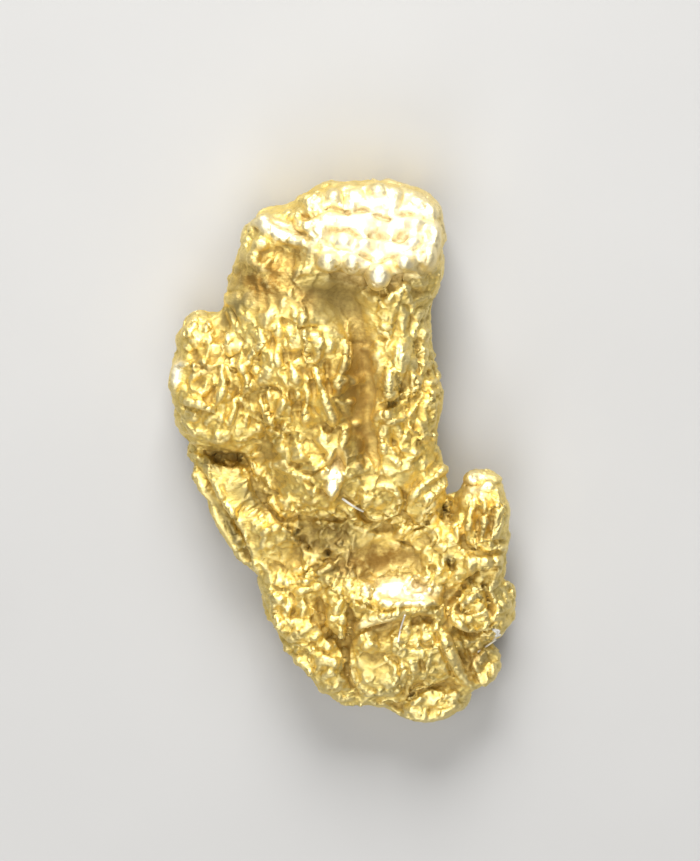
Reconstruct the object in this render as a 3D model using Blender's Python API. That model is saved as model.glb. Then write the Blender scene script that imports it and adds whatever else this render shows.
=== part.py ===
"""A placer gold nugget, one solid lump about 10 mm long, lying on its worn underside.

It is shaped as a sculptor would: lobes of metal are packed together and fused into one skin,
then strokes press flats and hollows into it, raise ridges and beads, and cut creases and pits.
Last, the foot is worn flat. Lengths are in millimetres until the finished mesh is scaled to metres.
"""

import math

import bmesh
import bpy
import numpy as np
from mathutils import Euler, Vector, noise

MM = 0.001

# Driving dimensions
LENGTH = 10.0  # along Y; the finished lump is scaled to it, and the rest follows
SKIN_GRAIN = 0.055  # side of the voxels that fuse the lobes
BLEND_PASSES = 22  # rounds the seams between fused lobes
BOXINESS = 2.5  # power of a lobe's superellipsoid: 2 is an ellipsoid, more is boxier
CRUMPLE_GRAINS = ((0.75, 0.07), (0.38, 0.03))  # size of the crumples all over, and their height
CREASE_REACH = 0.35  # share of a grain over which a crumple rises from its crease
WARP, WARP_PITCH = 0.5, 0.8  # how far crumples stray from their grid, in grains, and how often
WARP_SEED = 5  # picks one way for the crumples to stray, the same in every build
FLAT_EDGE = 1.6  # how steeply a flat fades at its rim
PAD_EDGE = 2.0  # how steeply a foot pad fades at its rim
TAPER_SHARE = 0.25  # share of a ridge over which each of its ends tapers
TAPER_LEAST = 0.1  # what is left of a ridge's height at its tip, before its root is taken
STEEPEST = 0.4  # cosine of the tilt past which a stroke fades on skin that turns away from it
PAD_SINK = 0.04  # how far below the resting plane a foot pad is pulled before it is worn flat
FACES_KEPT = 9800  # triangles of the finished solid

# Strokes on the upper side are laid on as seen by an eye that leans from +Z towards +Y.
# Their places (u, v) are in the plane square to that view: u along +X, v up in the view.
LEAN = math.radians(18)
ALONG_X = np.array((1.0, 0.0, 0.0))
UP_IN_VIEW = np.array((0.0, math.cos(LEAN), -math.sin(LEAN)))
TOWARDS_EYE = np.array((0.0, math.sin(LEAN), math.cos(LEAN)))
ABOVE = (ALONG_X, UP_IN_VIEW, TOWARDS_EYE)
# Strokes on the underside are laid on from straight below, at (x, y).
BELOW = (ALONG_X, np.array((0.0, 1.0, 0.0)), np.array((0.0, 0.0, -1.0)))

# Lobes: centre (x, y, z), radii (x, y, z), turn about Z in degrees
LOBES = {
    "crown": ((0.72, 3.64, 1.10), (0.99, 1.22, 1.10), 0),
    "crown_left": ((-0.04, 3.60, 1.05), (0.95, 1.24, 1.03), 0),
    "crown_corner": ((1.06, 3.79, 1.05), (0.68, 0.98, 1.05), 0),
    "shoulder": ((-0.86, 3.45, 0.95), (0.90, 0.95, 0.90), 14),
    "left_cheek": ((-1.10, 2.60, 1.00), (0.90, 1.08, 0.90), 12),
    "upper_body": ((-0.22, 2.00, 1.10), (1.74, 1.85, 1.05), 0),
    "left_lobe": ((-2.00, 1.18, 0.92), (0.96, 1.18, 0.80), 0),
    "left_lobe_top": ((-2.27, 1.90, 0.90), (0.60, 0.60, 0.60), 0),
    "mid_body": ((0.12, 0.50, 1.05), (1.48, 1.55, 1.00), 0),
    "right_flank": ((1.16, 0.95, 0.95), (0.54, 0.85, 0.80), 0),
    "right_hip": ((1.27, -0.42, 1.00), (0.50, 0.74, 0.70), 0),
    "waist": ((-0.35, -1.05, 0.80), (1.85, 1.20, 0.70), -20),
    "apron": ((0.30, -1.00, 0.75), (1.25, 0.95, 0.78), 0),
    "left_flank": ((-1.74, -1.12, 0.78), (0.46, 1.58, 0.58), 29),
    "lower_body": ((0.75, -2.75, 0.88), (1.75, 1.50, 0.82), 0),
    "lower_left": ((-0.30, -3.10, 0.80), (0.86, 1.55, 0.75), 30),
    "bottom": ((0.42, -4.07, 0.65), (1.04, 0.70, 0.60), -6),
    "toe": ((1.50, -4.48, 0.60), (0.74, 0.60, 0.55), 0),
    "right_knob": ((2.40, -2.92, 0.80), (0.61, 0.60, 0.65), 0),
    "small_knob": ((2.28, -4.00, 0.65), (0.49, 0.45, 0.50), 0),
    "spur": ((2.41, -1.25, 1.25), (0.46, 0.98, 0.60), 0),
    "spur_root": ((2.05, -1.80, 0.95), (0.80, 1.00, 0.72), 0),
}

# Flats pressed into the upper side: centre (u, v), radii, turn in degrees, slope along (u, v)
FLATS = {
    "crown_slope": ((0.62, 3.62), (1.75, 1.00), 0, (0.0, -0.42)),
    "shoulder_slope": ((-1.15, 3.70), (0.50, 0.28), -25, (0.1, -0.45)),
    "left_face": ((-1.30, 2.95), (0.55, 0.55), 0, (0.30, 0.10)),
    "waist_face": ((-0.30, -1.88), (0.95, 0.36), -4, (0.0, 0.05)),
    "flank_facet": ((-1.40, -1.35), (0.35, 0.60), 30, (0.25, 0.10)),
    "bright_ledge": ((0.88, -2.76), (0.95, 0.34), -4, (0.0, -0.46)),
    "grey_facet": ((0.72, -3.46), (0.45, 0.25), 8, (0.05, 0.14)),
    "lower_plate": ((0.60, -4.10), (0.42, 0.50), 0, (-0.05, 0.10)),
    "knob_face": ((2.62, -4.05), (0.24, 0.22), 0, (-0.30, 0.15)),
    "spur_face": ((2.45, -1.60), (0.36, 0.50), 0, (-0.10, 0.15)),
    "spur_tip": ((2.50, -1.00), (0.36, 0.32), 0, (0.0, -0.40)),
}

# Hollows in the upper side: centre (u, v), radii, turn in degrees, depth
HOLLOWS = {
    "under_brow": ((-0.02, 2.38), (0.92, 0.62), 0, 0.30),
    "under_brow_right": ((1.25, 2.35), (0.40, 0.40), 0, 0.16),
    "under_shoulder": ((-1.05, 3.05), (0.50, 0.30), -15, 0.16),
    "recess": ((-2.02, -0.42), (0.42, 0.20), -20, 0.14),
    "matte_valley": ((-0.60, -2.02), (0.80, 0.28), -4, 0.22),
    "under_overhang": ((-0.60, -1.72), (0.60, 0.30), 0, 0.10),
    "stained": ((0.80, -2.30), (1.00, 0.62), 4, 0.36),
    "above_plate": ((0.72, -3.46), (0.50, 0.25), 8, 0.12),
    "spur_back": ((2.40, -1.55), (0.35, 0.50), 0, 0.12),
}

# Pits: centre (u, v), radius, depth
PITS = {
    "big_pit": ((1.88, -2.28), 0.13, 0.28),
    "arch_pit": ((-0.76, -1.84), 0.15, 0.26),
    "crack_pit": ((1.82, -1.45), 0.13, 0.30),
    "recess_pit": ((-2.00, -0.38), 0.13, 0.08),
}

# Beads and lumps: centre (u, v), radii, turn in degrees, height
LUMPS = {
    "brow_1": ((-0.25, 3.00), (0.32, 0.26), 0, 0.13),
    "brow_2": ((0.15, 2.95), (0.28, 0.26), 0, 0.12),
    "brow_3": ((0.62, 2.74), (0.34, 0.34), 0, 0.20),
    "brow_4": ((1.08, 2.98), (0.30, 0.28), 0, 0.13),
    "brow_5": ((1.50, 3.00), (0.26, 0.32), 0, 0.13),
    "cheek_1": ((-1.60, 3.00), (0.24, 0.22), 0, 0.08),
    "cheek_2": ((-1.20, 2.92), (0.24, 0.20), 0, 0.08),
    "cheek_3": ((-1.90, 2.25), (0.30, 0.26), 30, 0.10),
    "cheek_4": ((-1.30, 2.05), (0.32, 0.28), 0, 0.09),
    "cheek_5": ((-0.95, 2.40), (0.26, 0.26), 0, 0.07),
    "lobe_nodule": ((-2.62, 1.82), (0.32, 0.24), 40, 0.14),
    "flank_1": ((1.00, 1.40), (0.22, 0.34), -12, 0.15),
    "flank_2": ((0.92, 0.80), (0.24, 0.34), -8, 0.14),
    "flank_3": ((0.70, 0.36), (0.28, 0.24), -30, 0.12),
    "flank_4": ((1.32, 0.05), (0.42, 0.42), 0, 0.14),
    "flank_5": ((1.20, -0.42), (0.36, 0.34), 0, 0.10),
    "flank_6": ((1.56, 0.65), (0.20, 0.32), 0, 0.12),
    "flank_7": ((1.50, 1.22), (0.20, 0.26), 0, 0.10),
    "flank_8": ((1.46, 1.75), (0.20, 0.24), 0, 0.08),
    "waist_lump": ((-0.95, -1.15), (0.42, 0.34), -15, 0.12),
    "oval_boss": ((0.70, -1.22), (0.38, 0.34), 0, 0.13),
    "waist_right_1": ((1.72, -1.86), (0.24, 0.24), 0, 0.10),
    "waist_right_2": ((1.50, -2.16), (0.20, 0.20), 0, 0.08),
    "spur_nodule": ((2.20, -0.76), (0.24, 0.20), 20, 0.12),
    "knob_shell": ((2.42, -3.12), (0.52, 0.48), 0, 0.12),
    "toe_1": ((1.25, -4.75), (0.30, 0.24), 0, 0.08),
    "toe_2": ((1.72, -4.66), (0.28, 0.24), 20, 0.08),
}

# Ridges: points along the crest (u, v), half width, height
RIDGES = {
    "shoulder_rim": ([(-1.50, 3.66), (-1.25, 3.58), (-0.95, 3.45), (-0.55, 3.35)], 0.13, 0.12),
    "bank_left_1": ([(-0.78, 2.30), (-0.62, 1.85), (-0.42, 1.55), (-0.05, 1.42)], 0.13, 0.13),
    "bank_left_2": ([(0.08, 1.60), (0.05, 1.20), (-0.05, 0.80), (-0.12, 0.50)], 0.11, 0.15),
    "bank_left_3": ([(-0.50, 1.10), (-0.32, 0.60), (-0.15, 0.15)], 0.10, 0.13),
    "bank_left_4": ([(-0.02, -0.10), (-0.10, -0.60), (-0.20, -1.10)], 0.13, 0.16),
    "bank_right": ([(1.05, 1.55), (0.88, 1.05), (0.78, 0.65), (0.52, 0.22)], 0.15, 0.10),
    "wormy_1": ([(-2.15, 1.10), (-2.10, 0.55)], 0.10, 0.12),
    "wormy_2": ([(-2.75, 0.50), (-2.40, 0.45), (-2.10, 0.22)], 0.10, 0.12),
    "wormy_3": ([(-1.80, 1.45), (-1.75, 1.00), (-1.60, 0.65)], 0.11, 0.12),
    "wormy_4": ([(-1.40, 1.35), (-1.25, 0.95), (-1.00, 0.65), (-1.05, 0.15)], 0.11, 0.12),
    "wormy_5": ([(-0.85, 1.30), (-0.78, 0.80), (-0.62, 0.35)], 0.10, 0.10),
    "lip": ([(-2.68, -0.42), (-2.50, -1.00), (-2.12, -1.68), (-1.72, -2.40)], 0.13, 0.14),
    "groove_bank": ([(-2.20, -0.75), (-1.95, -1.20), (-1.72, -1.75)], 0.12, 0.10),
    "arch": ([(-1.42, -1.95), (-1.30, -1.70), (-1.00, -1.66), (-0.62, -1.95)], 0.11, 0.14),
    "diagonal_1": ([(0.95, -1.80), (1.28, -1.68), (1.66, -1.42)], 0.11, 0.13),
    "diagonal_2": ([(1.08, -1.35), (1.30, -0.98), (1.52, -0.64)], 0.11, 0.12),
    "right_strip": ([(1.76, -3.55), (1.92, -3.90), (2.15, -4.40)], 0.13, 0.13),
    "ledge_rim": ([(0.25, -3.00), (0.72, -3.08), (1.20, -3.05), (1.70, -3.06)], 0.12, 0.14),
    "spur_streak_1": ([(2.32, -1.25), (2.38, -1.60), (2.34, -1.92)], 0.09, 0.08),
    "spur_streak_2": ([(2.62, -1.30), (2.58, -1.65), (2.56, -1.92)], 0.09, 0.08),
    "knob_fold": ([(2.12, -3.30), (2.10, -2.95), (2.35, -2.74), (2.68, -2.80)], 0.10, 0.10),
}

# Creases: points along the bottom (u, v), half width, depth
CREASES = {
    "furrow": ([(0.10, 2.30), (0.25, 1.75), (0.40, 0.95), (0.42, 0.20), (0.62, -0.95)], 0.28, 0.32),
    "overhang_left": ([(-2.72, -0.15), (-2.25, -0.30), (-1.80, -0.40), (-1.45, -0.85)], 0.11, 0.16),
    "overhang_middle": ([(-1.50, -0.75), (-1.20, -1.34), (-0.85, -1.62)], 0.13, 0.24),
    "apron": ([(-0.85, -1.62), (-0.40, -1.46), (0.00, -1.42), (0.38, -1.56), (0.95, -1.72)], 0.12, 0.08),
    "left_groove": ([(-2.50, -0.70), (-2.25, -1.12), (-2.00, -1.58), (-1.62, -2.35)], 0.08, 0.15),
    "cleft": ([(2.00, -0.75), (1.97, -0.95), (1.88, -1.20), (1.80, -1.45)], 0.08, 0.34),
    "crack": ([(1.68, -3.00), (1.78, -2.70), (1.80, -2.45), (1.86, -2.28)], 0.10, 0.20),
    "knob_groove": ([(1.86, -2.98), (2.05, -2.62), (2.35, -2.46), (2.78, -2.42)], 0.12, 0.22),
    "knob_foot": ([(1.84, -2.98), (1.86, -3.30), (2.12, -3.52), (2.60, -3.62)], 0.12, 0.20),
    "small_knob": ([(2.10, -3.65), (2.15, -4.00), (2.38, -4.34)], 0.11, 0.16),
    "lower_left_1": ([(0.10, -2.98), (0.15, -3.45), (0.10, -4.00), (0.25, -4.75)], 0.11, 0.22),
    "lower_left_2": ([(-0.42, -2.72), (-0.36, -3.25), (-0.12, -3.66), (0.10, -3.82)], 0.11, 0.18),
    "toe": ([(0.92, -4.90), (1.20, -4.52), (1.55, -4.36), (1.95, -4.46)], 0.12, 0.16),
    "spur_groove": ([(2.08, -2.05), (2.45, -2.06), (2.90, -2.04)], 0.10, 0.17),
    "under_ledge": ([(0.30, -3.24), (0.75, -3.28), (1.35, -3.24), (1.66, -3.22)], 0.10, 0.12),
    "lobe_edge": ([(-2.35, 2.10), (-2.10, 1.65), (-2.05, 1.30)], 0.14, 0.08),
    "oval_rim": ([(0.34, -0.92), (0.28, -1.30), (0.58, -1.60), (1.00, -1.52), (1.08, -1.15)], 0.09, 0.12),
}

# Rows of beads on the crown's slope: points along the row (u, v)
BEAD_ROWS = (
    [(-0.60, 4.05), (0.00, 4.22), (0.80, 4.24), (1.60, 3.90)],
    [(-0.30, 3.72), (0.45, 3.86), (1.10, 3.66), (1.68, 3.42)],
    [(-0.40, 3.38), (0.40, 3.30), (1.00, 3.34), (1.62, 3.20)],
)
BEAD_SPACING = 0.40
BEAD_RADIUS = 0.21
BEAD_HEIGHT = 0.10

# Hollows of the underside: centre (x, y), radii, turn in degrees, depth
UNDERSIDE_HOLLOWS = {
    "middle": ((0.10, -0.60), (1.30, 1.10), 20, 0.26),
    "upper": ((-0.40, 2.10), (0.90, 0.80), 0, 0.20),
    "lower": ((0.65, -2.70), (0.80, 0.70), 0, 0.20),
}
# Creases of the underside: points along the bottom (x, y), half width, depth
UNDERSIDE_CREASES = {
    "lobe_seam": ([(-1.30, 1.90), (-1.05, 1.00), (-1.35, 0.10)], 0.14, 0.18),
    "waist_seam": ([(-1.60, -0.90), (-0.40, -1.50), (0.80, -1.40), (1.60, -0.90)], 0.16, 0.20),
    "lower_seam": ([(0.10, -2.60), (0.35, -3.40), (0.90, -4.20)], 0.14, 0.16),
}
# Foot pads, which are worn flat at Z = 0: centre (x, y), radii
FOOT_PADS = {
    "under_crown": ((0.45, 3.55), (0.62, 0.55)),
    "under_left_lobe": ((-1.85, 1.05), (0.50, 0.62)),
    "under_knob": ((1.85, -2.90), (0.55, 0.50)),
    "under_lower_left": ((-0.62, -3.10), (0.50, 0.62)),
}


class Clay:
    """A mesh's points and normals while strokes are laid on it."""

    def __init__(self, mesh):
        self.mesh = mesh
        self.points = np.array([v.co for v in mesh.vertices])
        self.normals = np.array([v.normal for v in mesh.vertices])

    def settle(self):
        """Writes the points to the mesh and reads its new normals."""
        self.mesh.vertices.foreach_set("co", self.points.ravel())
        self.mesh.update()
        self.normals = np.array([v.normal for v in self.mesh.vertices])

    def seen(self, side):
        """(u, v) of each point in the plane of a side."""
        return np.stack((self.points @ side[0], self.points @ side[1]), axis=1)

    def facing(self, side):
        """1 where the skin faces that side, fading to 0 where it turns away."""
        return np.clip((self.normals @ side[2]) / STEEPEST, 0, 1)

    def raise_by(self, heights, side):
        self.points += np.outer(heights * self.facing(side), side[2])


def oval_reach(clay, centre, radii, turn, side):
    """0 at the middle of an oval brush, 1 at its rim."""
    angle = math.radians(turn)
    away = clay.seen(side) - np.array(centre)
    along = away @ np.array((math.cos(angle), math.sin(angle)))
    across = away @ np.array((-math.sin(angle), math.cos(angle)))
    return np.hypot(along / radii[0], across / radii[1])


def boss(clay, centre, radii, turn, height, side=ABOVE):
    """Raises a round boss, or presses in a hollow where the height is negative."""
    reach = oval_reach(clay, centre, radii, turn, side)
    clay.raise_by(height * np.clip(1 - reach**2, 0, 1) ** 2, side)


def flat(clay, centre, radii, turn, slope, side=ABOVE):
    """Presses an oval patch towards a plane through its mean height, with that slope."""
    away = clay.seen(side) - np.array(centre)
    reach = oval_reach(clay, centre, radii, turn, side)
    hold = np.clip(FLAT_EDGE * (1 - reach), 0, 1) * clay.facing(side)
    height = clay.points @ side[2]
    mean = (height * hold).sum() / hold.sum()
    plane = mean + away @ np.array(slope)
    clay.points += np.outer((plane - height) * hold, side[2])


def foot_pad(clay, centre, radii):
    """Pulls a patch of the underside just below the resting plane."""
    reach = oval_reach(clay, centre, radii, 0, BELOW)
    hold = np.clip(PAD_EDGE * (1 - reach), 0, 1) * clay.facing(BELOW)
    clay.points[:, 2] -= (clay.points[:, 2] + PAD_SINK) * hold


def smooth_line(corners, steps=14):
    """Points along a Catmull-Rom curve through the corners."""
    p = np.array([corners[0], *corners, corners[-1]])
    t = np.linspace(0, 1, steps, endpoint=False)[:, None]
    spans = [
        b + 0.5 * t * ((c - a) + t * ((2 * a - 5 * b + 4 * c - d) + t * (3 * (b - c) + d - a)))
        for a, b, c, d in zip(p, p[1:], p[2:], p[3:])
    ]
    return np.concatenate([*spans, p[-1:]])


def ridge(clay, corners, half_width, height, side=ABOVE):
    """Raises a ridge that tapers at both ends, or cuts a crease where the height is negative."""
    line = smooth_line(corners)
    gaps = np.linalg.norm(clay.seen(side)[:, None, :] - line[None], axis=2)
    along = gaps.argmin(axis=1) / (len(line) - 1)
    taper = np.sqrt(np.clip(np.minimum(along, 1 - along) / TAPER_SHARE, TAPER_LEAST, 1))
    clay.raise_by(height * taper * np.exp(-((gaps.min(axis=1) / half_width) ** 2)), side)


def bead_row(clay, corners):
    """A row of evenly spaced beads along a smooth line."""
    line = smooth_line(corners)
    travelled = np.append(0, np.cumsum(np.linalg.norm(np.diff(line, axis=0), axis=1)))
    for station in np.arange(0, travelled[-1], BEAD_SPACING):
        place = [np.interp(station, travelled, line[:, axis]) for axis in (0, 1)]
        boss(clay, place, (BEAD_RADIUS, BEAD_RADIUS), 0, BEAD_HEIGHT)


def crumple(clay, grain, height):
    """Breaks the whole skin into rounded lumps, each about one grain across, with creases between."""
    lift = np.empty(len(clay.points))
    for index, point in enumerate(clay.points):
        place = Vector(point) / grain
        place += WARP * noise.noise_vector(place * WARP_PITCH)
        nearest, second = noise.voronoi(place)[0][:2]
        lift[index] = min(1.0, (second - nearest) / CREASE_REACH)
    clay.points += clay.normals * (height * (lift - lift.mean()))[:, None]


def clear_scene():
    for obj in list(bpy.data.objects):
        bpy.data.objects.remove(obj)


def packed_lobes():
    """All the lobes as overlapping balls in one mesh."""
    bm = bmesh.new()
    for centre, radii, turn in LOBES.values():
        turned = Euler((0, 0, math.radians(turn))).to_matrix()
        for vert in bmesh.ops.create_icosphere(bm, subdivisions=4, radius=1.0)["verts"]:
            boxed = vert.co / sum(abs(c) ** BOXINESS for c in vert.co) ** (1 / BOXINESS)
            vert.co = Vector(centre) + turned @ (boxed * Vector(radii))
    mesh = bpy.data.meshes.new("lobes")
    bm.to_mesh(mesh)
    bm.free()
    lobes = bpy.data.objects.new("lobes", mesh)
    bpy.context.scene.collection.objects.link(lobes)
    return lobes


def with_modifiers_applied(source, name):
    """A new mesh object that holds what the source's modifiers make; the source is removed."""
    graph = bpy.context.evaluated_depsgraph_get()
    mesh = bpy.data.meshes.new_from_object(source.evaluated_get(graph))
    bpy.data.objects.remove(source)
    obj = bpy.data.objects.new(name, mesh)
    bpy.context.scene.collection.objects.link(obj)
    return obj


def fused(lobes):
    """One closed skin round all the lobes, with rounded seams."""
    skin = lobes.modifiers.new("skin", "REMESH")
    skin.mode = "VOXEL"
    skin.voxel_size = SKIN_GRAIN
    blend = lobes.modifiers.new("blend", "SMOOTH")
    blend.factor = 0.5
    blend.iterations = BLEND_PASSES
    return with_modifiers_applied(lobes, "skin")


def sculpt(mesh):
    clay = Clay(mesh)
    for place, radii, turn, slope in FLATS.values():
        flat(clay, place, radii, turn, slope)
    for place, radii, turn, depth in HOLLOWS.values():
        boss(clay, place, radii, turn, -depth)
    for place, radii, turn, depth in UNDERSIDE_HOLLOWS.values():
        boss(clay, place, radii, turn, -depth, BELOW)
    clay.settle()
    for row in BEAD_ROWS:
        bead_row(clay, row)
    for place, radii, turn, height in LUMPS.values():
        boss(clay, place, radii, turn, height)
    for corners, half_width, height in RIDGES.values():
        ridge(clay, corners, half_width, height)
    for corners, half_width, depth in CREASES.values():
        ridge(clay, corners, half_width, -depth)
    for corners, half_width, depth in UNDERSIDE_CREASES.values():
        ridge(clay, corners, half_width, -depth, BELOW)
    clay.settle()
    for grain, height in CRUMPLE_GRAINS:
        crumple(clay, grain, height)
    for place, radius, depth in PITS.values():
        boss(clay, place, (radius, radius), 0, -depth)
    for place, radii in FOOT_PADS.values():
        foot_pad(clay, place, radii)
    clay.settle()


def thinned(skin):
    """The skin with fewer triangles, kept where it bends most."""
    bm = bmesh.new()
    bm.from_mesh(skin.data)
    bmesh.ops.triangulate(bm, faces=bm.faces)
    bm.to_mesh(skin.data)
    bm.free()
    fewer = skin.modifiers.new("fewer", "DECIMATE")
    fewer.ratio = FACES_KEPT / len(skin.data.polygons)
    return with_modifiers_applied(skin, "nugget")


def rest_on_worn_foot(mesh):
    """Centres the lump over the origin, wears its foot flat at Z = 0 and scales it to its length."""
    points = np.array([v.co for v in mesh.vertices])
    low, high = points.min(axis=0), points.max(axis=0)
    points[:, :2] -= (low[:2] + high[:2]) / 2
    points[:, 2] = points[:, 2].clip(min=0)
    points *= LENGTH * MM / (high[1] - low[1])
    mesh.vertices.foreach_set("co", points.ravel())
    mesh.update()


def gold():
    material = bpy.data.materials.new("gold")
    material.use_nodes = True
    shader = material.node_tree.nodes["Principled BSDF"]
    shader.inputs["Base Color"].default_value = (0.93, 0.66, 0.26, 1)
    shader.inputs["Metallic"].default_value = 1.0
    shader.inputs["Roughness"].default_value = 0.32
    return material


def main():
    clear_scene()
    noise.seed_set(WARP_SEED)
    skin = fused(packed_lobes())
    sculpt(skin.data)
    nugget = thinned(skin)
    rest_on_worn_foot(nugget.data)
    nugget.data.shade_smooth()
    nugget.data.materials.append(gold())


main()
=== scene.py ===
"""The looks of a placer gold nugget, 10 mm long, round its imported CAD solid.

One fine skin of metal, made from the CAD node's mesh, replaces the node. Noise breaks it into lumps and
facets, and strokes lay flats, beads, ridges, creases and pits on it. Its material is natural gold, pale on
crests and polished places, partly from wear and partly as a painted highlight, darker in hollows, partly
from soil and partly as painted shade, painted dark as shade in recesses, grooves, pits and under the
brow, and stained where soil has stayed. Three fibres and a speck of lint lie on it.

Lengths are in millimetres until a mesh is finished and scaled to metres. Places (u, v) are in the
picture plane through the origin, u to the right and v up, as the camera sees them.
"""

import math

import bmesh
import bpy
import numpy as np
from mathutils import Matrix, Vector, noise


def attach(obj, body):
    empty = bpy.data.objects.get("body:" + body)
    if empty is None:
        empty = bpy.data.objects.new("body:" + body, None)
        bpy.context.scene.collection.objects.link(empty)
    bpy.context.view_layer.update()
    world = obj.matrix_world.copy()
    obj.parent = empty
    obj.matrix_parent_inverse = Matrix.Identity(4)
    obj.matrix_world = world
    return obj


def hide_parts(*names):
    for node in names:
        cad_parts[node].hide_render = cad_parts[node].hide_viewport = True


MM = 0.001

# The photograph: its size, the scale, the pixel where the origin lies, and how far the camera leans
PICTURE_SIZE = (700, 861)
MM_PER_PIXEL = 0.01741
ORIGIN_PIXEL = (344.0, 438.2)
LEAN = math.radians(18)
CAMERA_DISTANCE = 120.0
SENSOR = 36.0  # width of the camera's sensor
CLIP = (10.0, 2000.0)  # how near and how far it sees

RIGHT = np.array((1.0, 0.0, 0.0))
UP = np.array((0.0, math.cos(LEAN), -math.sin(LEAN)))
TOWARDS_CAMERA = np.array((0.0, math.sin(LEAN), math.cos(LEAN)))

# Lights: place, size, power in watts
LIGHTS = {
    "key": ((-5, 85, 50), 45, 0.150),
    "overhead": ((-10, -5, 115), 110, 0.088),
    "front": ((-20, -80, 80), 50, 0.030),
}
SKY = (1.0, 0.98, 0.95)
SKY_STRENGTH = 0.18
FLOOR_REACH = 400.0  # from the nugget to the floor's edges

# The fine skin
MERGE_DISTANCE = 0.0001
SKIN_GRAIN = 0.025  # side of the voxels that the strokes are laid on
SKIN_PASSES = 3  # rounds the solid's facets off before the strokes
TRIANGLES = 190_000
WEAR = 0.3  # how far every point goes towards its neighbours at the end
STEEPEST = 0.35  # cosine of the tilt past which a stroke fades on skin that turns away
HIGHEST = 2.45  # keeps the tips of beads near the top of the solid

# How noise makes the lumps
WARP, WARP_PITCH = 0.35, 0.7  # how far lumps stray from their grid, in grains, and how often
WARP_SEED = 5  # without a seed of its own, the noise takes the clock's
CREASE_REACH = 0.42  # share of a lump over which it rises from its crease
LUMP_TOP, LUMP_FALL = 1.15, 0.5  # height of a lump over its middle, and how it falls from there
FACET_SEED = 7.3  # spreads the facets' middles, so that each draws a tilt of its own
FACET_BORDER = 0.06  # share of a facet over which it comes back to the skin
HALF = Vector((0.5, 0.5, 0.5))
WORM_WIDTH = 0.14  # half width of a winding ridge, in the noise that makes it
PATCH_EDGE = 2.0  # how steeply a patch of lumps fades at its rim
FINISH_EDGE = 1.6  # how steeply a stain or other finish fades at its rim
LEAST_HOLD = 0.01  # lumps weaker than this are left out
SMOOTHING = 0.8  # how much of the lumps and facets matte and polished places lose
RIM_SHARE = 0.3  # what is left of the lumps and facets on the nugget's outline

# What the tables' strokes are multiplied by, and how lines are drawn
BEAD_GAIN = 0.85
RIDGE_GAIN, RIDGE_SPREAD = 1.1, 1.2
CREASE_GAIN, CREASE_SPREAD = 1.5, 1.15
LINE_STEPS = 30  # points on a line from one corner to the next
TAPER_SHARE = 0.25  # share of a ridge or crease over which each of its ends tapers
TAPER_LEAST = 0.1  # what is left of its height at the tip, before its root is taken

# Hollows: how wide, in rounds of evening out, and the depth in mm that counts as full
FINE_HOLLOW = (24, 0.03)
BROAD_HOLLOW = (200, 0.10)

# Colours
PLAIN_GOLD = ((0.92, 0.70, 0.19), (0.94, 0.76, 0.27))
# Pale gold of crests and polished places: partly wear, partly a painted highlight
WORN_GOLD_AND_HIGHLIGHT = (0.99, 0.91, 0.66)
# Dark brown of hollows: partly dirt, partly painted shade
DIRT_AND_SHADE_COLOUR = (0.40, 0.27, 0.08)
STAIN = (0.34, 0.20, 0.045)
# Painted shade: dark colour for recesses, grooves, pits and under the brow
PAINTED_SHADE_COLOUR = (0.25, 0.19, 0.07)
ETCHED = (0.46, 0.33, 0.10)
LINT_COLOURS = ((0.64, 0.63, 0.57), (0.84, 0.83, 0.78))
FLOOR_COLOURS = ((0.45, 0.445, 0.435), (0.49, 0.485, 0.475))

# Noise of the materials: scale per metre, detail, roughness
BROAD_NOISE = (600, 2, 0.5)
FINE_NOISE = (9000, 4, 0.6)
GRAIN_NOISE = (9000, 3, 0.6)
STREAK_NOISE = (13000, 3, 0.6)
PATCH_NOISE = (3500, 4, 0.65)
STREAK_TURN = (0, 0, math.radians(-40))
STREAK_SCALE = (1.0, 2.6, 1.6)
LINT_MOTTLE = 20000
FLOOR_MOTTLE = 200

# The stretch of a noise over which it goes from nothing to full
BROAD_STRETCH = (0.35, 0.65)
PATCH_STRETCH = (0.32, 0.54)
ETCHED_STRETCH = (0.5, 0.34)
ROUGH_STRETCH = (0.3, 0.7)
DIRT_AND_SHADE_STRETCH = (0.3, 0.6)

# Finish of the gold: what wear and painted highlight, dirt and painted shade, matte and polished places do
# to it
CREST_WEAR_AND_HIGHLIGHT = 0.22
HOLLOW_DIRT_AND_SHADE = 0.6
DIRT_AND_SHADE_COVER, THIN_DIRT_AND_SHADE = 0.8, 0.5
ETCHING, EVEN_ETCHING = 0.32, 0.10
DIRT_AND_SHADE_METALLIC = 0.85
ROUGHNESS = (0.42, 0.54)
MATTE_ROUGHNESS = 0.15
POLISH_ROUGHNESS = 0.10
DIRT_AND_SHADE_ROUGHNESS = 0.20
CREST_GLOSS = 0.06
STREAK_SHARE = 0.7  # of the grain; the rest has no direction
EVEN_GRAIN = 0.4  # what is left of the grain on matte and polished places
GRAIN_DEPTH = 0.032  # of the bump
LINT_ROUGHNESS = 0.7
FLOOR_ROUGHNESS = 0.8

# Lumps all over the skin: size of a lump, and its height
EVERYWHERE = ((0.45, 0.060), (0.17, 0.012))
# Small tilted facets all over the skin: size of a facet, and how steeply it is tilted
FACETS = ((0.32, 0.62), (0.13, 0.36))

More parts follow.
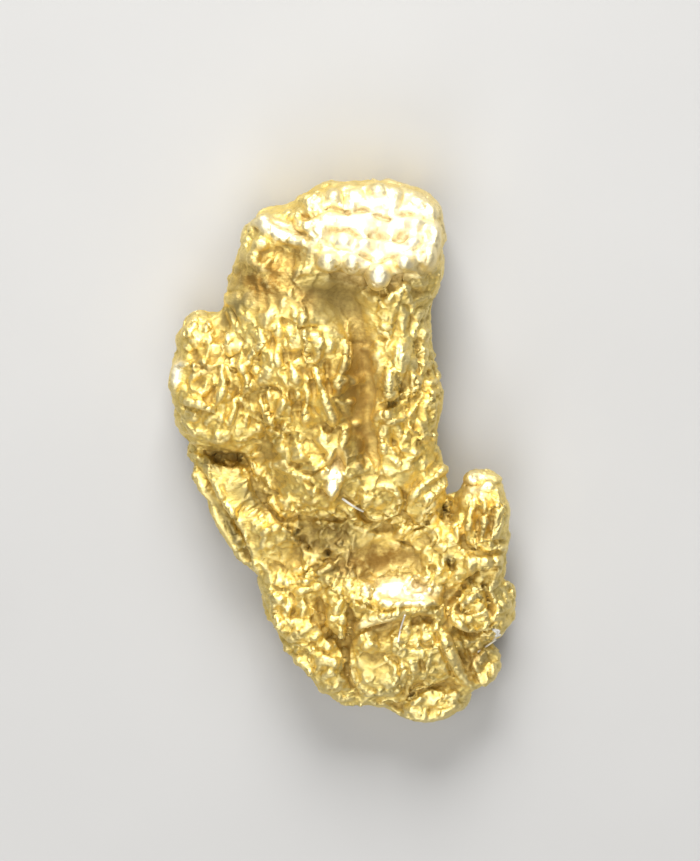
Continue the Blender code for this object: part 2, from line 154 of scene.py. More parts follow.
# Patches of winding ridges: centre (u, v), radii, turn, ridge's length and spacing, direction, height
WORM_PATCHES = {
    "left_cheek": ((-1.45, 2.65), (0.75, 1.0), 0, (0.4, 0.34), 30, 0.045),
    "left_lobe": ((-2.15, 1.0), (0.8, 1.1), 0, (0.6, 0.3), 70, 0.075),
    "left_body": ((-0.95, 1.2), (0.95, 1.45), 0, (0.75, 0.3), 98, 0.085),
    "right_flank": ((1.2, 1.0), (0.6, 1.5), 0, (0.5, 0.34), 80, 0.070),
    "waist": ((-0.6, -0.85), (1.2, 0.6), 0, (0.36, 0.26), 20, 0.035),
    "waist_right": ((1.2, -0.85), (0.75, 0.75), 0, (0.5, 0.24), 40, 0.040),
    "toe": ((1.45, -4.45), (0.8, 0.6), 20, (0.4, 0.22), 35, 0.030),
    "knob": ((2.4, -3.0), (0.65, 0.65), 0, (0.4, 0.22), 40, 0.040),
    "spur": ((2.4, -1.35), (0.55, 0.95), 0, (0.6, 0.26), 90, 0.045),
}
# Patches of beads, given in the same way
BEAD_PATCHES = {
    "crown": ((0.65, 3.75), (1.35, 0.95), 0, (0.34, 0.28), 0, 0.040),
    "waist": ((-0.6, -0.85), (1.2, 0.6), 0, (0.2, 0.16), 20, 0.015),
    "lower_left": ((-0.45, -3.1), (1.05, 1.35), 25, (0.2, 0.15), 30, 0.020),
    "toe": ((1.45, -4.45), (0.8, 0.6), 20, (0.22, 0.13), 35, 0.012),
}

# Patches of long facets, given in the same way
FACET_PATCHES = {
    "lower_half": ((0.4, -3.0), (3.2, 2.4), 0, (0.34, 0.15), 30, 0.150),
    "left_body": ((-1.1, 1.1), (1.2, 1.7), 0, (0.4, 0.17), 98, 0.090),
    "right_flank": ((1.2, 0.9), (0.7, 1.8), 0, (0.36, 0.17), 75, 0.090),
}

# Bright flats: centre (u, v), radii, turn in degrees, slope along u and v
FLAT_BORDER = 0.35  # share of a flat's radius over which it fades into the skin
FLAT_SLOPE = -0.38  # mirrors the key light to the camera
FLATS = {
    "ledge": ((1.04, -2.68), (0.66, 0.27), -4, (0.0, FLAT_SLOPE)),
    "tongue": ((-0.16, -0.66), (0.52, 0.18), 79, (0.0, FLAT_SLOPE)),
    "shoulder": ((-1.11, 3.64), (0.59, 0.18), -18, (0.0, FLAT_SLOPE)),
}

# Beads: the height of a group, then each bead as u, v, its two radii and, if it has one, its turn
BEADS = {
    "crown_rim": (0.075, (
        (-0.7, 4.15, 0.16, 0.14), (-0.45, 4.2, 0.16, 0.14), (-0.17, 4.23, 0.17, 0.14),
        (0.16, 4.2, 0.19, 0.16), (0.59, 4.32, 0.21, 0.14), (0.82, 4.08, 0.17, 0.16),
        (1.24, 4.06, 0.19, 0.17), (1.57, 3.96, 0.14, 0.16),
    )),
    "crown_middle": (0.065, (
        (-0.12, 3.76, 0.21, 0.16), (0.35, 3.71, 0.21, 0.16), (0.77, 3.59, 0.19, 0.16),
        (1.17, 3.75, 0.23, 0.16, 10), (1.57, 3.62, 0.14, 0.19), (-0.02, 3.45, 0.21, 0.16),
        (0.37, 3.36, 0.19, 0.17), (0.8, 3.31, 0.19, 0.16), (1.22, 3.43, 0.17, 0.16),
    )),
    "brow": (0.12, (
        (-0.28, 3.04, 0.23, 0.21), (0.16, 3.02, 0.23, 0.21), (1.04, 3.05, 0.19, 0.17),
        (1.46, 3.15, 0.16, 0.26, -10),
    )),
    "tongue": (0.06, ((-0.16, -0.66, 0.5, 0.18, 79),)),
    "brow_bead": (0.16, ((0.6, 2.79, 0.25, 0.26),)),
    "shoulder": (0.07, (
        (-1.34, 3.8, 0.16, 0.12, -20), (-0.97, 3.87, 0.16, 0.14), (-0.75, 3.73, 0.14, 0.14),
    )),
    "left_cheek": (0.06, (
        (-1.45, 3.38, 0.16, 0.12, -10), (-1.71, 3.43, 0.12, 0.1), (-1.57, 3.14, 0.14, 0.16),
        (-1.25, 3.14, 0.17, 0.12, 20), (-1.39, 2.98, 0.14, 0.1), (-1.88, 2.95, 0.1, 0.1),
        (-1.97, 2.79, 0.1, 0.12), (-1.31, 2.72, 0.16, 0.14), (-1.03, 2.35, 0.12, 0.12),
        (-1.69, 2.09, 0.14, 0.1), (-1.39, 2.08, 0.17, 0.14), (-1.53, 1.88, 0.16, 0.12, 20),
        (-1.11, 1.88, 0.16, 0.14), (-0.82, 2.09, 0.14, 0.16),
    )),
    "lobe_nodule": (0.1, (
        (-2.58, 2.06, 0.28, 0.16, 35), (-2.7, 1.83, 0.14, 0.12), (-2.61, 1.69, 0.1, 0.09),
        (-2.37, 1.92, 0.1, 0.14),
    )),
    "left_lobe": (0.065, (
        (-2.4, 0.84, 0.14, 0.14), (-1.88, 0.67, 0.17, 0.17), (-1.72, 0.32, 0.12, 0.09),
        (-2.11, 0.0, 0.23, 0.14), (-2.39, 0.28, 0.09, 0.09), (-2.59, 0.35, 0.1, 0.09),
        (-2.58, 0.11, 0.1, 0.09), (-1.83, 1.54, 0.12, 0.16), (-2.0, 1.74, 0.1, 0.14),
        (-2.42, 1.33, 0.14, 0.12), (-2.66, 1.26, 0.12, 0.09),
    )),
    "left_body": (0.075, (
        (-1.45, 1.12, 0.21, 0.19), (-1.17, 1.36, 0.14, 0.16, 30), (-0.89, 1.0, 0.21, 0.16, 15),
        (-0.89, 1.67, 0.17, 0.17), (-0.5, 1.64, 0.19, 0.24, 20), (-0.26, 1.61, 0.14, 0.16),
        (-0.71, 1.36, 0.14, 0.12), (-0.45, 1.14, 0.14, 0.17), (-0.61, 0.8, 0.09, 0.17),
        (-0.68, 0.39, 0.19, 0.19), (-1.45, 0.56, 0.12, 0.14), (-1.27, 0.73, 0.1, 0.09),
        (-0.12, 0.98, 0.14, 0.16), (-1.43, 1.74, 0.17, 0.12, -20), (-1.72, 0.87, 0.12, 0.1),
        (-1.11, -0.03, 0.16, 0.1), (-1.5, 0.18, 0.14, 0.1),
    )),
    "under_brow_right": (0.06, (
        (0.49, 2.44, 0.14, 0.14), (0.77, 2.44, 0.14, 0.12), (1.15, 2.46, 0.14, 0.16),
        (1.06, 2.61, 0.12, 0.1), (0.97, 2.25, 0.14, 0.12, 20), (0.73, 1.9, 0.14, 0.17, 20),
        (1.29, 1.88, 0.1, 0.16, -30), (1.45, 1.83, 0.1, 0.1), (1.04, 2.02, 0.12, 0.21),
        (1.36, 2.2, 0.09, 0.17, -40),
    )),
    "right_flank": (0.075, (
        (1.01, 1.5, 0.19, 0.23), (1.17, 1.33, 0.12, 0.12), (0.8, 0.77, 0.12, 0.12),
        (1.22, 1.01, 0.1, 0.14), (1.15, 0.79, 0.12, 0.1), (1.38, 1.5, 0.1, 0.1), (1.55, 1.45, 0.09, 0.1),
        (1.5, 0.6, 0.19, 0.14, 15), (1.65, 0.8, 0.09, 0.12), (1.04, 0.04, 0.14, 0.14),
        (1.57, 0.04, 0.09, 0.1), (1.64, -0.21, 0.09, 0.12), (0.91, -0.22, 0.14, 0.1),
        (0.56, 1.43, 0.12, 0.1, 20), (0.35, 1.57, 0.09, 0.09), (0.12, 0.65, 0.09, 0.07),
        (0.21, 0.26, 0.1, 0.07),
    )),
    "waist_left": (0.06, (
        (-1.1, -0.17, 0.19, 0.1), (-0.68, -0.17, 0.19, 0.1, -10), (-1.62, -0.24, 0.14, 0.12),
        (-1.22, -0.45, 0.17, 0.1), (-1.81, -0.54, 0.16, 0.09, 10), (-1.53, -0.73, 0.09, 0.09),
        (-1.36, -0.68, 0.09, 0.1), (-1.31, -0.87, 0.12, 0.12), (-0.85, -0.9, 0.1, 0.09),
        (-0.49, -0.9, 0.1, 0.09), (-1.27, -1.08, 0.07, 0.1),
    )),
    "waist_nodules": (0.045, (
        (-1.17, -1.11, 0.09, 0.07, 20), (-0.97, -1.09, 0.09, 0.09), (-0.82, -1.18, 0.09, 0.07, 30),
        (-0.63, -1.25, 0.1, 0.07, 20), (-0.52, -1.09, 0.09, 0.09), (-0.7, -1.08, 0.07, 0.07),
        (-1.06, -1.27, 0.09, 0.07, 30), (-0.89, -1.32, 0.09, 0.07, 20), (-0.45, -1.28, 0.07, 0.07),
        (-0.33, -1.15, 0.09, 0.07),
    )),
    "waist_right": (0.05, (
        (1.11, -0.36, 0.1, 0.09), (1.25, -0.24, 0.09, 0.09), (0.94, -0.45, 0.1, 0.09),
        (1.39, -0.43, 0.1, 0.09), (0.71, -0.55, 0.1, 0.09), (0.57, -0.99, 0.09, 0.05),
        (1.74, -0.54, 0.12, 0.14), (1.18, -0.55, 0.09, 0.09), (1.57, -0.69, 0.1, 0.09, 40),
    )),
    "inside_arch": (0.05, (
        (-1.15, -1.79, 0.09, 0.09), (-1.04, -1.74, 0.07, 0.07), (-1.29, -1.86, 0.09, 0.07),
    )),
    "ledge_ring": (0.05, (
        (1.13, -2.45, 0.09, 0.07), (1.39, -2.47, 0.09, 0.09), (1.46, -2.64, 0.09, 0.1),
        (1.25, -2.75, 0.12, 0.07), (1.06, -2.64, 0.07, 0.09),
    )),
    "by_the_cleft": (0.055, (
        (1.64, -2.33, 0.1, 0.09, 30), (1.78, -2.47, 0.09, 0.1), (1.67, -2.64, 0.09, 0.1),
        (1.83, -2.75, 0.09, 0.09), (1.6, -2.87, 0.1, 0.07), (1.79, -1.91, 0.12, 0.1),
        (1.6, -1.86, 0.1, 0.09), (1.43, -1.95, 0.1, 0.09), (1.98, -1.6, 0.12, 0.14),
        (1.85, -1.74, 0.1, 0.09), (1.62, -1.6, 0.1, 0.09), (2.04, -1.91, 0.1, 0.1),
    )),
    "spur": (0.07, (
        (2.19, -0.64, 0.21, 0.12, 20), (2.49, -0.87, 0.19, 0.16, 20), (2.07, -1.08, 0.16, 0.17),
        (2.68, -1.22, 0.09, 0.17), (2.44, -1.46, 0.1, 0.21), (2.19, -1.49, 0.09, 0.16),
        (2.66, -2.12, 0.14, 0.12), (2.25, -2.16, 0.09, 0.16), (2.47, -2.14, 0.12, 0.1, 30),
    )),
    "knob": (0.05, (
        (2.84, -2.61, 0.14, 0.17, 20), (2.33, -2.94, 0.12, 0.09, 20), (2.19, -2.82, 0.1, 0.09, 30),
        (2.07, -3.06, 0.1, 0.09, 40), (2.44, -3.13, 0.1, 0.07, 30), (2.72, -2.92, 0.1, 0.14, 20),
        (2.65, -3.13, 0.09, 0.1, 40), (2.82, -2.89, 0.1, 0.1), (2.19, -3.17, 0.1, 0.07, 20),
    )),
    "small_knob": (0.05, (
        (2.58, -4.0, 0.12, 0.16, -20), (2.42, -4.28, 0.12, 0.09, 20), (2.7, -3.77, 0.07, 0.14),
        (2.26, -3.69, 0.1, 0.09),
    )),
    "lower_middle": (0.05, (
        (1.45, -3.44, 0.14, 0.1, 20), (1.46, -3.88, 0.07, 0.12, -20), (1.18, -4.02, 0.14, 0.07, -10),
        (0.63, -3.65, 0.12, 0.09), (1.01, -3.79, 0.09, 0.07), (1.67, -3.65, 0.1, 0.09, 20),
        (1.32, -3.69, 0.09, 0.07), (1.57, -4.07, 0.1, 0.07, 20), (1.18, -4.38, 0.12, 0.09, 20),
        (1.43, -4.28, 0.1, 0.07, 20), (1.81, -4.38, 0.12, 0.07, 25),
    )),
    "lower_left_block": (0.075, (
        (-0.17, -3.03, 0.17, 0.14, 30), (-0.05, -3.17, 0.14, 0.12, 30), (-0.24, -3.2, 0.12, 0.1, 20),
        (-1.1, -2.82, 0.12, 0.12), (-1.01, -3.03, 0.1, 0.12), (-0.84, -3.2, 0.16, 0.09, 15),
        (-0.77, -3.41, 0.21, 0.09, 15), (-1.11, -3.23, 0.1, 0.09), (-1.25, -2.75, 0.1, 0.1),
        (-0.45, -2.75, 0.14, 0.09, 10), (-0.66, -2.47, 0.16, 0.09, 15), (-0.94, -2.54, 0.12, 0.1),
        (-0.23, -2.64, 0.12, 0.1),
    )),
    "lower_left_field": (0.06, (
        (-0.91, -3.51, 0.14, 0.09, 20), (-0.56, -3.69, 0.17, 0.09, 20), (-0.38, -3.86, 0.16, 0.1, 20),
        (-0.77, -3.86, 0.16, 0.09, 25), (-0.35, -4.14, 0.21, 0.1, 15), (-0.17, -3.93, 0.1, 0.1),
        (-0.52, -4.04, 0.12, 0.09, 20), (-0.16, -4.35, 0.16, 0.09, 10), (-0.38, -4.38, 0.14, 0.09, 20),
        (0.0, -4.52, 0.14, 0.07), (-0.59, -3.27, 0.12, 0.09, 20), (-0.49, -3.48, 0.12, 0.09, 20),
        (-0.28, -3.62, 0.12, 0.09, 30), (-1.04, -3.69, 0.1, 0.09, 30),
    )),
    "toe": (0.05, (
        (1.11, -4.73, 0.14, 0.09, -10), (1.39, -4.8, 0.14, 0.09), (1.67, -4.77, 0.14, 0.09, 20),
        (1.88, -4.63, 0.12, 0.09, 35), (1.25, -4.56, 0.12, 0.07, 25), (1.53, -4.58, 0.12, 0.07, 25),
        (1.74, -4.51, 0.1, 0.07, 30), (1.39, -4.42, 0.1, 0.07, 25), (1.98, -4.49, 0.1, 0.07, 40),
        (1.08, -4.59, 0.09, 0.07, 20),
    )),
}

# Ridges: the half width and height of a group, then the points (u, v) along each crest
RIDGES = {
    "shoulder_ledge": (0.1, 0.1, (((-1.53, 3.82), (-1.29, 3.64), (-0.94, 3.49), (-0.56, 3.42)),)),
    "lobe_flake": (0.08, 0.09, (
        ((-2.8, 1.27), (-2.91, 1.12), (-2.98, 0.79)), ((-2.84, 1.27), (-2.65, 1.29)),
    )),
    "left_lobe": (0.07, 0.09, (
        ((-2.14, 1.17), (-2.12, 0.84), (-2.3, 0.53)), ((-2.79, 0.65), (-2.56, 0.6), (-2.3, 0.51)),
        ((-1.88, 0.63), (-1.97, 0.39), (-2.02, 0.21)), ((-2.68, 1.01), (-2.56, 1.12), (-2.37, 1.15)),
    )),
    "left_body": (0.07, 0.1, (
        ((-1.81, 1.33), (-1.71, 1.08), (-1.6, 0.82)), ((-1.03, 0.72), (-1.08, 0.53), (-1.18, 0.37)),
        ((-1.24, 0.4), (-1.27, 0.13)), ((-1.01, 0.3), (-1.03, 0.06)),
        ((-1.45, 0.63), (-1.34, 0.46), (-1.29, 0.28)), ((-0.42, 0.89), (-0.3, 0.6), (-0.16, 0.26)),
        ((0.05, 1.71), (0.02, 1.34), (-0.12, 0.93)), ((-0.71, 2.3), (-0.68, 1.88), (-0.64, 1.26)),
        ((-1.97, 1.78), (-1.97, 1.41)), ((-0.78, 0.87), (-0.84, 0.63)),
        ((-0.45, 1.78), (-0.44, 1.45), (-0.7, 1.31)), ((-1.64, 1.33), (-1.53, 1.54), (-1.36, 1.64)),
    )),
    "flank": (0.08, 0.09, (
        ((0.82, 1.17), (0.78, 0.98), (0.8, 0.72)), ((0.49, 0.33), (0.68, 0.42), (0.91, 0.35)),
        ((0.64, 0.26), (0.94, 0.32), (1.17, 0.51)), ((0.68, 0.13), (0.7, -0.28)),
        ((0.07, 1.0), (0.38, 1.05)), ((1.22, 1.15), (1.27, 0.98), (1.15, 0.77)),
    )),
    "flank_ring": (0.05, 0.06, (
        ((1.39, 1.26), (1.51, 1.31), (1.62, 1.19), (1.62, 1.05), (1.5, 0.96), (1.39, 1.05)),
    )),
    "tongue_tip": (0.08, 0.05, (((-0.05, -0.14), (0.03, 0.13), (0.09, 0.23)),)),
    "waist_strips": (0.06, 0.06, (
        ((-0.92, -0.36), (-0.73, -0.31), (-0.52, -0.36)),
        ((-0.56, -0.55), (-0.38, -0.43), (-0.24, -0.29)),
        ((-0.66, -0.69), (-0.45, -0.62), (-0.24, -0.55)),
    )),
    "overhang_rim": (0.06, 0.06, (
        ((-1.64, -0.41), (-1.53, -0.55), (-1.43, -0.62)),
        ((-1.29, -1.04), (-1.13, -1.25), (-0.97, -1.37)), ((-0.42, -1.35), (-0.07, -1.32), (0.31, -1.46)),
    )),
    "oval_ring": (0.06, 0.07, (
        ((0.38, -0.9), (0.56, -0.83), (0.77, -0.85), (0.96, -0.99), (0.96, -1.22), (0.77, -1.34),
         (0.52, -1.37), (0.38, -1.22), (0.37, -0.97)),
    )),
    "diagonals": (0.07, 0.09, (
        ((1.78, -0.5), (1.45, -0.76), (1.13, -1.09)), ((1.85, -0.66), (1.57, -0.94), (1.32, -1.2)),
        ((0.92, -1.69), (1.18, -1.53), (1.57, -1.37)), ((1.15, -1.55), (1.39, -1.32), (1.67, -1.08)),
    )),
    "lip": (0.09, 0.07, (
        ((-2.61, -0.08), (-2.7, -0.31), (-2.65, -0.59), (-2.45, -1.01)),
        ((-2.4, -1.08), (-2.16, -1.49), (-1.88, -1.91), (-1.71, -2.22)),
    )),
    "beside_groove": (0.06, 0.06, (((-2.26, -0.83), (-2.02, -1.18), (-1.76, -1.56)),)),
    "arch": (0.06, 0.1, (
        ((-1.43, -1.65), (-1.25, -1.58), (-1.04, -1.58), (-0.89, -1.7), (-0.75, -1.86)),
    )),
    "flank_streaks": (0.04, 0.035, (
        ((-1.76, -1.28), (-1.53, -1.13)), ((-1.71, -1.39), (-1.43, -1.2)),
        ((-1.64, -1.49), (-1.32, -1.28)), ((-1.85, -1.16), (-1.64, -1.02)),
        ((-1.57, -1.56), (-1.36, -1.42)),
    )),
    "ledge": (0.09, 0.06, (
        ((0.17, -2.61), (0.42, -2.68), (0.66, -2.85), (0.97, -2.9), (1.64, -2.83)),
        ((0.28, -2.52), (0.56, -2.61)),
    )),
    "under_ledge": (0.07, 0.08, (((0.24, -3.29), (0.49, -3.18), (0.77, -3.1), (1.04, -3.03)),)),
    "ledge_ring": (0.05, 0.05, (
        ((1.08, -2.47), (1.25, -2.4), (1.46, -2.47), (1.5, -2.64), (1.32, -2.76), (1.11, -2.71)),
    )),
    "knob_folds": (0.05, 0.06, (
        ((1.9, -2.89), (1.9, -3.1), (2.02, -3.27), (2.26, -3.32), (2.51, -3.3)),
        ((2.49, -2.61), (2.59, -2.78), (2.68, -3.01)), ((2.05, -2.92), (2.19, -2.78), (2.37, -2.75)),
        ((2.12, -3.17), (2.3, -3.06), (2.51, -3.03)), ((2.72, -2.5), (2.89, -2.64), (2.94, -2.85)),
    )),
    "spur_streaks": (0.06, 0.07, (
        ((2.45, -1.08), (2.44, -1.35), (2.4, -1.67)), ((2.7, -1.08), (2.72, -1.35), (2.66, -1.63)),
        ((2.19, -1.28), (2.19, -1.67)), ((2.12, -1.98), (2.23, -2.36)),
        ((2.44, -1.91), (2.65, -1.86), (2.82, -1.93)),
    )),
    "right_strip": (0.1, 0.08, (((1.72, -3.39), (1.86, -3.76), (2.09, -4.21)),)),
    "small_knob": (0.05, 0.06, (
        ((2.3, -3.55), (2.47, -3.72), (2.68, -3.69)), ((2.19, -3.79), (2.33, -4.07), (2.37, -4.31)),
    )),
    "plate_edge": (0.05, 0.06, (
        ((0.12, -3.76), (0.16, -4.07), (0.28, -4.38)), ((0.31, -4.44), (0.7, -4.42)),
        ((0.77, -4.35), (0.96, -4.19), (1.06, -4.0), (0.87, -3.95)), ((0.7, -3.79), (0.84, -3.93)),
    )),
    "lower_left": (0.06, 0.06, (
        ((-1.25, -2.89), (-1.18, -3.1), (-1.04, -3.41)), ((-0.91, -3.69), (-0.7, -3.93), (-0.45, -4.21)),
        ((-0.94, -3.41), (-0.66, -3.3), (-0.45, -3.3)), ((-0.7, -2.92), (-0.73, -3.13)),
        ((-0.84, -2.68), (-0.59, -2.64), (-0.38, -2.57)), ((-0.31, -2.47), (-0.1, -2.64), (0.0, -2.78)),
        ((-0.84, -2.26), (-0.45, -2.33), (-0.24, -2.22)),
    )),
    "toe": (0.05, 0.05, (
        ((0.96, -4.77), (1.22, -4.87), (1.57, -4.87), (1.88, -4.7)),
        ((1.04, -4.49), (1.32, -4.35), (1.67, -4.21)), ((1.5, -4.66), (1.78, -4.52), (2.05, -4.38)),
        ((1.18, -4.66), (1.39, -4.52)),
    )),
}

# Creases: the half width and depth of a group, then the points (u, v) along each bottom
CREASES = {
    "under_brow": (0.09, 0.09, (
        ((-0.49, 2.93), (-0.07, 2.82), (0.31, 2.72), (0.45, 2.55), (0.7, 2.51), (0.87, 2.72),
         (1.18, 2.82), (1.46, 2.82)),
    )),
    "crown": (0.06, 0.045, (
        ((-0.84, 3.94), (-0.7, 3.83), (-0.49, 3.9), (-0.24, 4.01), (0.07, 3.94), (0.35, 3.97),
         (0.73, 3.82), (1.01, 3.9), (1.39, 3.83)),
        ((-0.31, 3.59), (0.03, 3.62), (0.28, 3.52), (0.56, 3.52), (0.94, 3.45), (1.32, 3.59)),
        ((-0.45, 3.28), (-0.1, 3.28), (0.14, 3.24), (0.38, 3.17), (0.59, 3.07), (0.84, 3.17),
         (1.25, 3.28)),
    )),
    "left_lobe": (0.05, 0.07, (
        ((-2.23, 1.22), (-2.23, 0.94), (-2.4, 0.67)), ((-2.75, 0.53), (-2.51, 0.46), (-2.23, 0.39)),
        ((-2.05, 1.01), (-1.98, 0.8)), ((-1.81, 0.6), (-1.78, 0.42)),
        ((-2.28, 2.2), (-2.05, 2.27), (-1.85, 1.99)),
    )),
    "left_body": (0.06, 0.08, (
        ((-1.6, 1.43), (-1.5, 1.33)), ((-1.43, 0.87), (-1.22, 0.84), (-1.08, 0.73)),
        ((-0.94, 0.8), (-0.8, 0.6), (-0.77, 0.32)), ((-1.36, 0.25), (-1.15, 0.18), (-0.91, 0.0)),
        ((-1.57, 0.77), (-1.53, 0.49), (-1.43, 0.25)), ((-0.31, 1.33), (-0.28, 1.08), (-0.24, 0.73)),
        ((-0.63, 1.19), (-0.56, 1.01), (-0.52, 0.73)), ((-1.04, 1.5), (-1.01, 1.26), (-1.08, 1.12)),
        ((-1.95, 1.26), (-1.85, 1.01), (-1.81, 0.8)), ((-0.38, 0.25), (-0.24, 0.14), (0.0, 0.25)),
        ((-0.84, 1.95), (-0.59, 1.92), (-0.38, 1.95)),
    )),
    "furrow": (0.12, 0.03, (((0.21, 1.81), (0.35, 1.29), (0.42, 0.67), (0.42, -0.03), (0.52, -0.8)),)),
    "flank": (0.06, 0.08, (
        ((1.29, 1.71), (1.32, 1.36), (1.29, 1.08)), ((0.91, 1.15), (1.01, 0.94), (1.01, 0.73)),
        ((0.59, 0.56), (0.84, 0.6), (1.08, 0.7)), ((0.84, 0.18), (0.87, -0.1), (1.01, -0.31)),
        ((1.22, 0.25), (1.32, 0.04), (1.29, -0.17)), ((1.39, 0.87), (1.46, 0.77), (1.64, 0.7)),
    )),
    "overhang": (0.05, 0.06, (
        ((-2.68, -0.08), (-2.4, -0.24), (-2.12, -0.31), (-1.81, -0.34), (-1.64, -0.48)),
        ((-1.57, -0.83), (-1.43, -1.04), (-1.25, -1.25), (-1.04, -1.46)),
        ((-1.04, -1.46), (-0.77, -1.39), (-0.42, -1.44), (0.0, -1.42), (0.35, -1.53)),
        ((-1.81, -0.41), (-1.64, -0.55), (-1.57, -0.8)),
    )),
    "recess": (0.07, 0.1, (((-2.26, -0.34), (-2.05, -0.41), (-1.85, -0.41)),)),
    "waist_left": (0.05, 0.06, (
        ((-0.97, -0.43), (-0.8, -0.48), (-0.63, -0.43)), ((-1.43, -0.8), (-1.18, -0.97), (-1.04, -1.01)),
        ((-0.73, -0.76), (-0.56, -0.83), (-0.35, -0.97), (-0.21, -1.15)),
        ((-0.84, -0.59), (-0.59, -0.62), (-0.38, -0.55)),
    )),
    "left_groove": (0.05, 0.13, (
        ((-2.54, -0.55), (-2.33, -0.88), (-2.07, -1.27), (-1.85, -1.65), (-1.69, -2.05), (-1.6, -2.38)),
    )),
    "arch": (0.05, 0.12, (
        ((-1.11, -1.49), (-0.94, -1.6), (-0.8, -1.74)), ((-0.7, -1.88), (-0.59, -1.95)),
    )),
    "oval_ring": (0.05, 0.07, (
        ((0.28, -0.87), (0.24, -1.15), (0.35, -1.39), (0.59, -1.46), (0.91, -1.39), (1.04, -1.22),
         (1.04, -0.97), (0.91, -0.8)),
    )),
    "cleft": (0.05, 0.16, (((1.97, -0.8), (1.9, -0.97), (1.79, -1.11), (1.78, -1.35)),)),
    "cracks": (0.03, 0.07, (
        ((1.53, -1.25), (1.5, -1.39), (1.43, -1.49)), ((1.6, -1.7), (1.57, -1.84), (1.5, -1.91)),
        ((0.1, -1.88), (0.14, -2.05), (0.07, -2.22)), ((1.57, -2.22), (1.53, -2.4), (1.5, -2.54)),
        ((-0.45, -2.12), (-0.24, -2.12), (-0.07, -2.05)), ((0.84, -1.77), (1.08, -1.84), (1.22, -1.98)),
        ((1.67, -1.35), (1.78, -1.42), (1.88, -1.42)),
    )),
    "under_ledge": (0.04, 0.09, (
        ((0.14, -2.82), (0.38, -2.92), (0.7, -3.01), (1.04, -2.96), (1.64, -2.94)),
        ((0.26, -3.37), (0.49, -3.29), (0.8, -3.2)),
    )),
    "knob": (0.05, 0.11, (
        ((1.85, -3.13), (1.83, -2.92), (1.98, -2.71), (2.16, -2.5), (2.4, -2.33), (2.7, -2.26)),
        ((1.95, -2.89), (2.05, -3.03), (2.23, -2.96)), ((2.44, -2.54), (2.51, -2.78), (2.58, -3.1)),
        ((1.95, -3.3), (2.19, -3.41), (2.47, -3.37), (2.68, -3.2)),
    )),
    "spur": (0.05, 0.09, (
        ((2.33, -1.08), (2.32, -1.42), (2.32, -1.81)), ((2.58, -1.15), (2.54, -1.49), (2.51, -1.79)),
        ((2.05, -1.88), (2.26, -1.91), (2.54, -1.84), (2.82, -1.81)),
        ((2.05, -0.8), (2.26, -0.83), (2.44, -0.73)), ((2.09, -1.28), (2.05, -1.6), (2.09, -1.88)),
    )),
    "small_knob": (0.05, 0.09, (
        ((2.09, -3.51), (2.16, -3.79), (2.3, -4.17), (2.4, -4.35)),
        ((2.47, -3.51), (2.61, -3.55), (2.75, -3.51)),
    )),
    "right_strip": (0.04, 0.06, (
        ((1.6, -3.41), (1.74, -3.79), (1.95, -4.24)), ((1.88, -3.37), (2.05, -3.79), (2.23, -4.21)),
    )),
    "lower_left": (0.06, 0.11, (
        ((-0.44, -2.71), (-0.4, -3.03), (-0.31, -3.34), (-0.1, -3.55), (0.03, -3.72), (0.07, -4.07),
         (0.23, -4.45)), ((0.02, -2.78), (0.09, -3.06), (0.1, -3.37), (0.03, -3.69)),
        ((-0.31, -3.44), (-0.17, -3.51), (0.0, -3.51)),
    )),
    "lower_left_fine": (0.04, 0.05, (
        ((-0.94, -2.68), (-0.87, -2.89), (-0.91, -3.13)), ((-0.7, -2.75), (-0.59, -2.92), (-0.56, -3.17)),
        ((-1.18, -3.41), (-0.94, -3.58), (-0.66, -3.55)),
        ((-0.77, -3.65), (-0.56, -3.86), (-0.52, -4.24)),
        ((-1.36, -2.54), (-1.11, -2.64), (-0.94, -2.61)), ((-0.84, -2.4), (-0.59, -2.43), (-0.31, -2.4)),
        ((-0.59, -3.51), (-0.38, -3.72), (-0.07, -3.79)),
    )),
    "toe": (0.05, 0.09, (
        ((0.92, -4.7), (1.15, -4.52), (1.46, -4.35), (1.88, -4.24)),
        ((0.77, -4.59), (0.94, -4.7), (1.04, -4.8)),
    )),
    "lower_middle": (0.04, 0.06, (
        ((1.29, -3.3), (1.36, -3.58), (1.57, -3.62), (1.64, -3.44)),
        ((1.04, -3.86), (1.15, -4.14), (1.08, -4.38)), ((1.32, -3.79), (1.39, -4.07)),
        ((1.18, -3.23), (1.32, -3.13), (1.53, -3.2)),
    )),
}

# Pits: the depth of a group, then each pit as u, v and its radius
PITS = {
    "crown_spots": (0.05, ((-0.7, 3.85, 0.09), (0.07, 3.96, 0.09), (0.75, 3.82, 0.07))),
    "black_pits": (0.18, ((1.86, -2.16, 0.08), (-0.29, -2.01, 0.07), (-0.82, -1.64, 0.08))),
    "small_pits": (0.08, (
        (-0.28, -1.6, 0.06), (1.45, -1.48, 0.05), (1.25, -2.54, 0.08), (1.29, 0.04, 0.07),
        (1.5, 1.14, 0.07), (0.14, -3.17, 0.06), (-1.39, 0.73, 0.05), (-0.97, 0.67, 0.05),
        (-1.85, -0.34, 0.07), (1.5, -2.26, 0.06),
    )),
}

